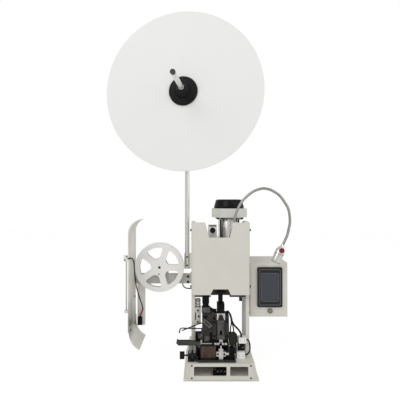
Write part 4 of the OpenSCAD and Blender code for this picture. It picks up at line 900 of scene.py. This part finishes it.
class CRIMPER_OT_applicator(PieceOperator, bpy.types.Operator):
    """The applicator with its plates, ram, crimpers, anvil, guides and feed."""

    bl_idname = "crimper.applicator"
    bl_label = "Applicator"

    def make(self, sizes):
        worn = finish("worn_steel", machined, linear("747370"), 0.42)
        soot = finish("sooty_steel", machined, linear("4B4A49"), 0.42)
        own = dict.fromkeys(("applicator_frame", "feed_bracket", "strip_rail", "bolster_plate"), soot)
        own["height_dial"] = finish("dial_lacquer", gloss_moulding, chosen("maroon"), 0.3)
        own["applicator_ram"] = finish("plate_steel", machined, linear("6E6C69"), 0.4)
        own["applicator_base"] = finish("sole_steel", machined, linear("3C3C39"), 0.45)
        own["feed_lever"] = worn
        dress_all(sizes.fine_edge, (
            "bolster_plate", "applicator_base", "applicator_frame", "applicator_ram", "crimpers", "anvil",
            "anvil_holder", "strip_guide", "strip_rail", "feed_cylinder", "feed_bracket", "feed_lever",
            "entry_guide", "spring_block", "guide_rods", "connector_blocks", "valve_block", "dial_bracket",
            "height_dial", "adjusting_knob",
        ), own)
        self.feed_trim(worn)
        self.valve_trim()
        self.spring_trim()
        self.connector_trim()
        self.knob_trim()
        self.plate_trim(soot)

    def feed_trim(self, worn):
        block("cylinder_collar", (-62.8, -118.8, 208.6), (-35.2, -93.2, 226.6), "tool_steel", 0.0012, worn)
        ribs = spread(10, (-61, -118.8, 217.6), (-37, -118.8, 217.6))
        slats("collar_knurl", ribs, UP, 0.013, 0.001, 0.0012, "tool_steel", worn)
        band = disc(12, 0, 2, 0.4)
        for k, height in enumerate((238, 243)):
            turned("cylinder_band_%d" % k, band, (-49, -106, height), UP)
        slope = Vector((17.7, 0, -15.9))
        groove = metres((-45, -127.4, 177.6))
        slats("lever_groove", groove, slope, 0.02, 0.0006, 0.0026, "blackened_steel", body="feed")
        block("feed_shoe_plate", (-74.4, -115.6, 123.4), (-59, -114, 139), "tool_steel", 0.0005, worn)
        block("feed_finger_plate", (-54.4, -115.6, 114), (-36.6, -114, 131), "tool_steel", 0.0005, worn)
        heads = metres((-71, -115.6, 135), (-63, -115.6, 127), (-51, -115.6, 127), (-40, -115.6, 118))
        screws("feed_plate_screws", heads, FRONT, 0.0018, 0.0009, sides=12)

    def valve_trim(self):
        fitting = rounded([(0, 0), (3, 0), (3, 1.4), (1.8, 1.4), (1.8, 0.8), (0, 0.8)], 0.2)
        for k, (x, z) in enumerate(((-75.7, 211.7), (-72.4, 192.3), (-75.7, 173.9))):
            turned("fitting_ring_%d" % k, fitting, (x, -102, z), FRONT)
        band = disc(8.9, 0, 2, 0.4)
        for k, height in enumerate((221, 229, 240)):
            turned("bowl_band_%d" % k, band, (-74.75, -85, height), UP)
        block("valve_seal", (-84.3, -98.9, 178), (-81, -98, 204), "brown_phenolic", 0.0002)

    def spring_trim(self):
        posts = metres((-100, -131.33, 84.3), (-85, -131.33, 84.3))
        spring = {"Radius": 0.0042, "Height": 0.0238, "Turns": 8, "Wire": 0.0006}
        cloud = point_cloud("strip_springs", posts, UP)
        grow("strip_springs", cloud, coil_springs, spring, "root", "bright_steel")
        heads = metres((-102, -140, 64), (-92.5, -140, 74), (-83, -140, 64))
        screws("spring_block_screws", heads, FRONT, 0.003, 0.0015, "tool_steel")
        ribs = metres((-92.5, -139.6, 79), (-92.5, -139.6, 81.5))
        slats("spring_block_ribs", ribs, RIGHT, 0.027, 0.001, 0.0008, "tool_steel")
        low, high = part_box("bolster_plate")
        inset = 0.007
        ends = [(x, low.y + inset, high.z) for x in (low.x + inset, high.x - inset)]
        screws("bolster_screws", ends, UP, 0.0035, 0.002)

    def connector_trim(self):
        grey = finish("connector_seam", moulded, linear("8E8D88"))
        seams = metres((66, -118, 119), (78, -118, 119), (60, -118, 68), (73, -118, 68))
        slats("connector_seams", seams, UP, 0.011, 0.0005, 0.0007, "white_plastic", grey)
        block("connector_bracket", (57, -104, 79.3), (80, -100, 107.8), "blackened_steel")
        studs = metres((62, -104, 98), (74, -104, 90))
        screws("connector_studs", studs, FRONT, 0.0022, 0.002, "brass_plate", 12)

    def knob_trim(self):
        low, mid, high = box_of("adjusting_knob")
        radius = (high.z - low.z) / 2 - 0.0004
        x = low.x + 0.0075
        rim = [(x, mid.y + radius * math.cos(a), mid.z + radius * math.sin(a)) for a in turns(24)]
        slats("knob_ribs", rim, RIGHT, 0.013, 0.0011, 0.0011, "black_plastic", body="adjuster")

    def plate_trim(self, soot):
        # Black strips in the gaps beside the ram plate: painted shade.
        for side, x in (("left", -13.8), ("right", 11.8)):
            block("gib_gap_shade_" + side, (x, -122.6, 133), (x + 2, -121.5, 197), "blackened_steel", 0.0002)
        # A black pad behind the holes of the ram plate: painted shade inside the holes.
        low, high = (-9, -128.9, 136), (9, -128.2, 187.5)
        block("ram_hole_shade", low, high, "blackened_steel", 0.0001, body="ram")
        half_rail = 27
        for k, share in enumerate((-0.67, -0.35, 0.27, 0.61)):
            x = share * half_rail
            block("stop_cap_%d" % k, (x - 3.7, -126.3, 107.4), (x + 3.7, -120.8, 113.3), "bright_steel")
        for name, low, high, width in (
            ("strip_carriage", (-61, -112.5, 107.6), (-27.8, -96, 141), 0.0008),
            ("carriage_foot", (-83, -117, 66.4), (-66.5, -97, 120), 0.001),
            ("carriage_arm", (-83, -113, 118), (-60, -99, 143), 0.001),
        ):
            block(name, low, high, "blackened_steel", width)
        block("guard_block", (46.5, -118, 74.3), (52.6, -100, 104), "tool_steel", 0.001, soot)
        bolts = metres((-22.2, -126, 136.3), (-22.2, -126, 179), (18.5, -126, 136.3), (18.5, -126, 181))
        screws("column_bolts", bolts, FRONT, 0.0026, 0.0012)
        screws("shoulder_bolt", metres((-22, -122, 192.5)), FRONT, 0.0036, 0.002)
        # A black disc above the lever head: painted shadow over it.
        turned("lever_arch_shade", disc(6.5, 0, 1.6, 0.4), (-50.5, -117, 193), FRONT)
        knob = rounded([(0, 0), (8, 0), (8, 3), (9.5, 4), (9.5, 13), (0, 13)], 0.8)
        turned("clamp_knob", knob, (38, -116, 88), FRONT)
        heads = metres((-79, -117, 112), (-70.5, -117, 96), (-79, -117, 80))
        screws("carriage_screws", heads, FRONT, 0.0028, 0.0016, "tool_steel", 12)


class CRIMPER_OT_reel_stand(PieceOperator, bpy.types.Operator):
    """The mast, its holder, the axle, the white disc and its hub."""

    bl_idname = "crimper.reel_stand"
    bl_label = "Reel stand"

    def make(self, sizes):
        steel, black_from = chosen("bright_steel"), -0.263
        drawn = finish("drawn_chrome", drawn_rod, steel)
        axle = finish("tipped_axle", tipped_rod, steel, linear("1C1616"), black_from)
        own = {"reel_mast": drawn, "mast_holder": drawn, "reel_axle": axle}
        dress_all(sizes.edge, ("mast_holder", "reel_mast", "reel_axle", "reel_disc", "reel_hub"), own)
        low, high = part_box("mast_holder")
        mast = box_of("reel_mast")[1]
        places = [(mast.x, low.y + 0.0012, z) for z in (low.z + 0.012, high.z - 0.012)]
        screws("mast_holder_screws", places, FRONT, 0.003, 0.0015)


class CRIMPER_OT_takeup(PieceOperator, bpy.types.Operator):
    """The take-up bracket, motor and reel, the chute, the guide plate and the sensor lever."""

    bl_idname = "crimper.takeup"
    bl_label = "Take-up and chute"

    def make(self, sizes):
        dress_all(sizes.fine_edge, (
            "takeup_bracket", "takeup_motor", "takeup_reel", "chute_upper", "chute_lower", "guide_plate",
            "sensor_lever",
        ), {"guide_plate": finish("guide_enamel", powder_coat, linear("F6F4EE"))})
        self.window_sleeves()
        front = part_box("takeup_reel")[0].y
        marks = [(-0.21, front - 0.0014, 0.344), (-0.2125, front + 0.001, 0.3205)]
        screws("reel_screws", marks, FRONT, 0.0028, 0.0012, body="takeup")
        heads = metres((-295.5, -122, 153.5), (-295.5, -52, 153.5), (-298, -37, 242))
        screws("chute_screws", heads, RIGHT, 0.0035, 0.0018)
        line = metres(*((-284.7, -27.4, z) for z in (288, 260, 230, 200, 175)))
        tube("guide_wire", line, 0.0009, "bright_steel")
        block("hinge_plate", (-316, -134.8, 380), (-300.5, -132.4, 401), "chute_steel")
        heads = metres((-311, -134.8, 385), (-305, -134.8, 396))
        screws("hinge_screws", heads, FRONT, 0.0022, 0.0011)
        red = finish("red_sleeve", moulded, chosen("wire"))
        path = smooth_path([(-270, -34.5, 197), (-270, -33, 193), (-276, -28, 178), (-280, -26, 170)])
        tube("red_sleeve", path, 0.0027, "red_plastic", red)

    def window_sleeves(self):
        """A thin wall round each window of the reel, from one flange to the other, in a greyer copy of the
        white plastic that paints shade inside the windows.
        """
        low, mid, high = box_of("takeup_reel")
        radius = (high.x - low.x) / 2
        inner, outer, half, windows, first, softness = 0.36 * radius, 0.82 * radius, 27.0, 5, 34, 0.3
        polar = [(outer, -half), (outer, 0), (outer, half), (inner, half * 0.72), (inner, -half * 0.72)]
        corners = [Vector((r * math.cos(math.radians(a)), r * math.sin(math.radians(a)))) for r, a in polar]
        outline = []
        for k, corner in enumerate(corners):
            start = corner.lerp(corners[k - 1], softness)
            end = corner.lerp(corners[(k + 1) % len(corners)], softness)
            outline += [bend(start, corner, end, t) for t in (0, 1 / 3, 2 / 3, 1)]
        middle = sum(outline, Vector((0, 0))) / len(outline)
        near, far, thin, thick = low.y + 0.0015, high.y - 0.0015, 1.012, 1.06
        made = bmesh.new()
        for k in range(windows):
            turn = math.radians(first + 360 // windows * k)
            rings = []
            for share, y in ((thin, near), (thin, far), (thick, far), (thick, near)):
                edge = []
                for point in outline:
                    p = middle + (point - middle) * share
                    x = p.x * math.cos(turn) - p.y * math.sin(turn)
                    z = p.x * math.sin(turn) + p.y * math.cos(turn)
                    edge.append(made.verts.new((mid.x + x, y, mid.z + z)))
                rings.append(edge)
            bridge(made, rings + rings[:1])
        bmesh.ops.recalc_face_normals(made, faces=made.faces)
        # The walls' greyer plastic is painted shade inside the windows.
        plastic = finish("window_wall_shade", moulded, linear("CFCBBF"))
        add_piece("window_sleeves", to_mesh("window_sleeves", made), "takeup", "white_plastic", plastic)


NECK_ROUTE = [(x, -106, z) for x, z in (
    (44, 503), (46, 512), (51, 532), (62, 559), (77, 581), (99, 601), (118, 612), (141, 618),
    (158, 616), (172, 611), (195, 596), (213, 573), (227, 546), (231, 508), (227, 484), (222, 463),
    (212, 440), (208, 432),
)]
LAMP_WAY = Vector((-0.395829, 0, -0.918324))


class CRIMPER_OT_lamp(PieceOperator, bpy.types.Operator):
    """The lamp: socket, ribbed gooseneck, head and button."""

    bl_idname = "crimper.lamp"
    bl_label = "Lamp"

    def make(self, sizes):
        dress_all(sizes.fine_edge, ("lamp_socket", "lamp_head", "lamp_button"))
        curve = curve_source("gooseneck_line", smooth_path(NECK_ROUTE, 10))
        ribs = {"Radius": 0.0045, "Pitch": sizes.rib_pitch, "Depth": 0.00012}
        chrome = finish("neck_chrome", polished, linear("B0AEA9"), 0.24, (1, 1, 1))
        grow("gooseneck_ribs", curve, ribbed_tube, ribs, "lamp", "chromed_steel", chrome, ["gooseneck"])
        end = Vector(NECK_ROUTE[-1])
        band = ring(14, 15.7, 1.4, 0.3)
        for k, along in enumerate((33, 62.4)):
            turned("lamp_band_%d" % k, band, end + along * LAMP_WAY, LAMP_WAY, body="lamp")
        lens = rounded([(0, 0), (13.2, 0), (13.2, 0.8), (9, 1.6), (0, 2)], 0.4)
        turned("lamp_lens", lens, end + 57.7 * LAMP_WAY, LAMP_WAY, "white_plastic", body="lamp")
        at = end + 20 * LAMP_WAY + Vector((0, -13.6, 0))
        turned("button_collar", ring(8.4, 9.6, 3, 0.3), at, FRONT, "chromed_steel", body="lamp")


class CRIMPER_OT_control_box(PieceOperator, bpy.types.Operator):
    """The control box with its display and push button."""

    bl_idname = "crimper.control_box"
    bl_label = "Control box"

    def make(self, sizes):
        dress_all(sizes.edge, ("control_box", "display_bezel", "power_button"))
        dress("display_screen", 0)
        self.display_trim()
        low, mid, high = box_of("power_button")
        radius = (high.x - low.x) / 2 / MM
        mark = ring(radius - 3, radius - 2, 0.6, 0.2)
        middle = (mid.x / MM, low.y / MM, mid.z / MM)
        turned("button_mark", mark, middle, FRONT, "tool_steel", body="power_switch")
        low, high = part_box("control_box")
        places = face_corners(low, high, 0.008, high.y, 0.008)
        screws("back_cover_screws", places, AWAY, 0.003, 0.0015)

    def display_trim(self):
        """Strips on the bezel, and narrower ones round the screen, in a lighter grey that paints highlights
        on the rim lines.
        """
        # The lighter grey of the strips is painted highlight on the glossy black bezel.
        grey = finish("rim_highlight_plastic", moulded, linear("6F7274"), 0.25)
        low, mid, high = box_of("display_bezel")
        front, wide, tall, rim, strip = low.y, high.x - low.x, high.z - low.z, 0.008, 0.0016
        rails = [(mid.x, front, z) for z in (low.z + rim, high.z - rim)]
        slats("bezel_rails", rails, RIGHT, wide - 2 * rim, strip, strip, "gloss_black", grey)
        stiles = [(x, front, mid.z) for x in (low.x + rim, high.x - rim)]
        slats("bezel_stiles", stiles, UP, tall - 2 * rim, strip, strip, "gloss_black", grey)
        low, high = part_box("display_screen")
        gap, strip, deep = 0.0015, 0.001, 0.0014
        edges = [(x, front, mid.z) for x in (low.x - gap, high.x + gap)]
        slats("screen_edges", edges, UP, high.z - low.z, strip, deep, "gloss_black", grey)
        ends = [(mid.x, front, z) for z in (low.z - gap, high.z + gap)]
        slats("screen_ends", ends, RIGHT, high.x - low.x, strip, deep, "gloss_black", grey)


LEAD_ROUTES = {
    "applicator_lead_thick": ("applicator_leads", 0.003, [
        (18, -112, 200.3), (18, -112, 206), (21, -112, 211), (26, -112, 209), (31, -112, 203),
        (35, -111, 192), (38, -110, 179), (44, -109, 167), (55, -108, 155), (64, -108, 144),
        (68, -108, 134), (68, -108, 126.5),
    ]),
    "applicator_lead_inner": ("applicator_leads", 0.002, [
        (21, -98, 200.2), (21, -98, 204), (25, -98, 206), (30, -99, 200), (34, -101, 189), (36, -103, 178),
        (36, -104, 168), (34, -104, 158), (33, -104, 147), (33, -104, 138.3),
    ]),
    "applicator_lead_outer": ("applicator_leads", 0.002, [
        (23, -86, 200.2), (23, -86, 204), (27, -87, 205), (32, -90, 198), (36, -94, 186), (39, -97, 172),
        (42, -99, 158), (44, -100, 147), (44, -100, 138.3),
    ]),
    "applicator_lead_loop": ("applicator_leads", 0.0025, [
        (84.8, -110, 118), (88, -110, 118), (93, -111, 114), (96, -112, 104), (97, -112, 92), (95, -112, 80),
        (90, -111, 72), (85, -110, 69), (80.3, -110, 69),
    ]),
    "takeup_motor_lead": ("takeup_lead", 0.002, [
        (-130, -8, 284), (-130, -8, 277), (-127, -8, 270), (-120, -8, 264), (-110, -8, 262), (-103, -8, 262),
        (-96.5, -8, 262),
    ]),
    "chute_switch_lead": ("chute_lead", 0.002, [
        (-301, -143, 391), (-296, -142, 391), (-295, -134, 390), (-295, -112, 388), (-294, -90, 380),
        (-293, -78, 366), (-292, -74, 345), (-290, -71, 315), (-286, -66, 282), (-279, -56, 247),
        (-272, -42, 215), (-270, -33, 193), (-276, -28, 178), (-280, -26, 170), (-280, -26, 166.4),
    ]),
}


class CRIMPER_OT_leads(PieceOperator, bpy.types.Operator):
    """The black leads of the applicator, the take-up motor and the chute switch."""

    bl_idname = "crimper.leads"
    bl_label = "Leads"

    def make(self, sizes):
        for name, (node, radius, route) in LEAD_ROUTES.items():
            path = smooth_path(route)
            piece = tube(name, path, radius, "cable_rubber", nodes=[node])
            path_length(path)
        block("chute_connector", (-289, -32, 138), (-273, -20, 166), "black_plastic", sizes.edge)


class CRIMPER_OT_stage(bpy.types.Operator):
    """The pale floor, the soft lights and the camera."""

    bl_idname = "crimper.stage"
    bl_label = "Studio"

    def execute(self, context):
        stage = context.scene.crimper_stage
        self.surround(context, stage)
        self.floor(context)
        self.lights(context, stage)
        self.camera(context, stage)
        context.scene.view_settings.view_transform = "Standard"
        return {"FINISHED"}

    def surround(self, context, stage):
        world = bpy.data.worlds.new("studio")
        context.scene.world = world
        world.use_nodes = True
        sky = Shading(world.node_tree)
        background = sky.tree.nodes["Background"]
        background.inputs["Color"].default_value = (1, 1, 1, 1)
        seen = sky.ray("Is Camera Ray")
        either = seen.maths("MAXIMUM", seen, sky.ray("Is Transmission Ray"))
        level = sky.node("ShaderNodeMapRange", {}, {"Value": either, "To Min": stage.sky, "To Max": 1.0})
        sky.put(background.inputs["Strength"], level)

    def floor(self, context):
        mesh = bpy.data.meshes.new("studio_floor")
        reach = 6.0
        corners = [(-reach, -reach, 0), (reach, -reach, 0), (reach, reach, 0), (-reach, reach, 0)]
        mesh.from_pydata(corners, [], [(0, 1, 2, 3)])
        floor = bpy.data.objects.new("studio_floor", mesh)
        context.scene.collection.objects.link(floor)
        f = Finish("studio_floor")
        f.set(Base_Color=(0.86, 0.86, 0.86, 1), Roughness=0.9)
        glow = f.node("ShaderNodeEmission", {}, {"Strength": 1.12})
        lit = Term(f, f.shader.outputs[0])
        mix = f.node("ShaderNodeMixShader", {}, {0: f.ray("Is Camera Ray") * 0.78, 1: lit, 2: glow})
        f.put(f.tree.nodes["Material Output"].inputs[0], mix)
        mesh.materials.append(f.material)

    def lights(self, context, stage):
        aim = Vector((-0.05, 0, 0.5))
        for name, place, power, size in (
            ("key_light", (-1.6, -2.2, 2.6), stage.key, 1.8),
            ("fill_light", (2.2, -1.8, 1.4), stage.fill, 2.2),
        ):
            data = bpy.data.lights.new(name, "AREA")
            data.energy = power
            data.size = size
            lamp = bpy.data.objects.new(name, data)
            lamp.location = place
            lamp.rotation_euler = (aim - Vector(place)).to_track_quat("-Z", "Y").to_euler()
            context.scene.collection.objects.link(lamp)

    def camera(self, context, stage):
        data = bpy.data.cameras.new("camera")
        data.lens = stage.lens
        data.sensor_width = 36
        data.sensor_fit = "HORIZONTAL"
        camera = bpy.data.objects.new("camera", data)
        camera.location = (stage.camera_x, -stage.distance, stage.height)
        tilt = math.radians(90.33)
        camera.rotation_euler = (tilt, 0, 0)
        context.scene.collection.objects.link(camera)
        context.scene.camera = camera


class CRIMPER_PT_panel(bpy.types.Panel):
    """The sizes and colours of the machine, and a button for each group of its pieces."""

    bl_idname = "CRIMPER_PT_panel"
    bl_label = "Crimping machine"
    bl_space_type = "VIEW_3D"
    bl_region_type = "UI"
    bl_category = "Crimping machine"

    def draw(self, context):
        scene = context.scene
        for group in (scene.crimper_colours, scene.crimper_sizes, scene.crimper_stage):
            for name in group.bl_rna.properties.keys():
                if name not in ("rna_type", "name"):
                    self.layout.prop(group, name)
        for operator in OPERATORS:
            self.layout.operator(operator.bl_idname)


OPERATORS = (
    CRIMPER_OT_stage, CRIMPER_OT_leads, CRIMPER_OT_base, CRIMPER_OT_frame, CRIMPER_OT_drive,
    CRIMPER_OT_applicator, CRIMPER_OT_reel_stand, CRIMPER_OT_takeup, CRIMPER_OT_lamp, CRIMPER_OT_control_box,
)
GROUPS = {"crimper_colours": CrimperColours, "crimper_sizes": CrimperSizes, "crimper_stage": CrimperStage}


def register():
    for name, group in GROUPS.items():
        bpy.utils.register_class(group)
        setattr(bpy.types.Scene, name, bpy.props.PointerProperty(type=group))
    for operator in OPERATORS:
        bpy.utils.register_class(operator)
    bpy.utils.register_class(CRIMPER_PT_panel)


def unregister():
    bpy.utils.unregister_class(CRIMPER_PT_panel)
    for operator in reversed(OPERATORS):
        bpy.utils.unregister_class(operator)
    for name, group in GROUPS.items():
        delattr(bpy.types.Scene, name)
        bpy.utils.unregister_class(group)


def main():
    """Makes every piece."""
    register()
    for operator in OPERATORS:
        group, action = operator.bl_idname.split(".")
        getattr(getattr(bpy.ops, group), action)()


if __name__ == "__main__":
    main()
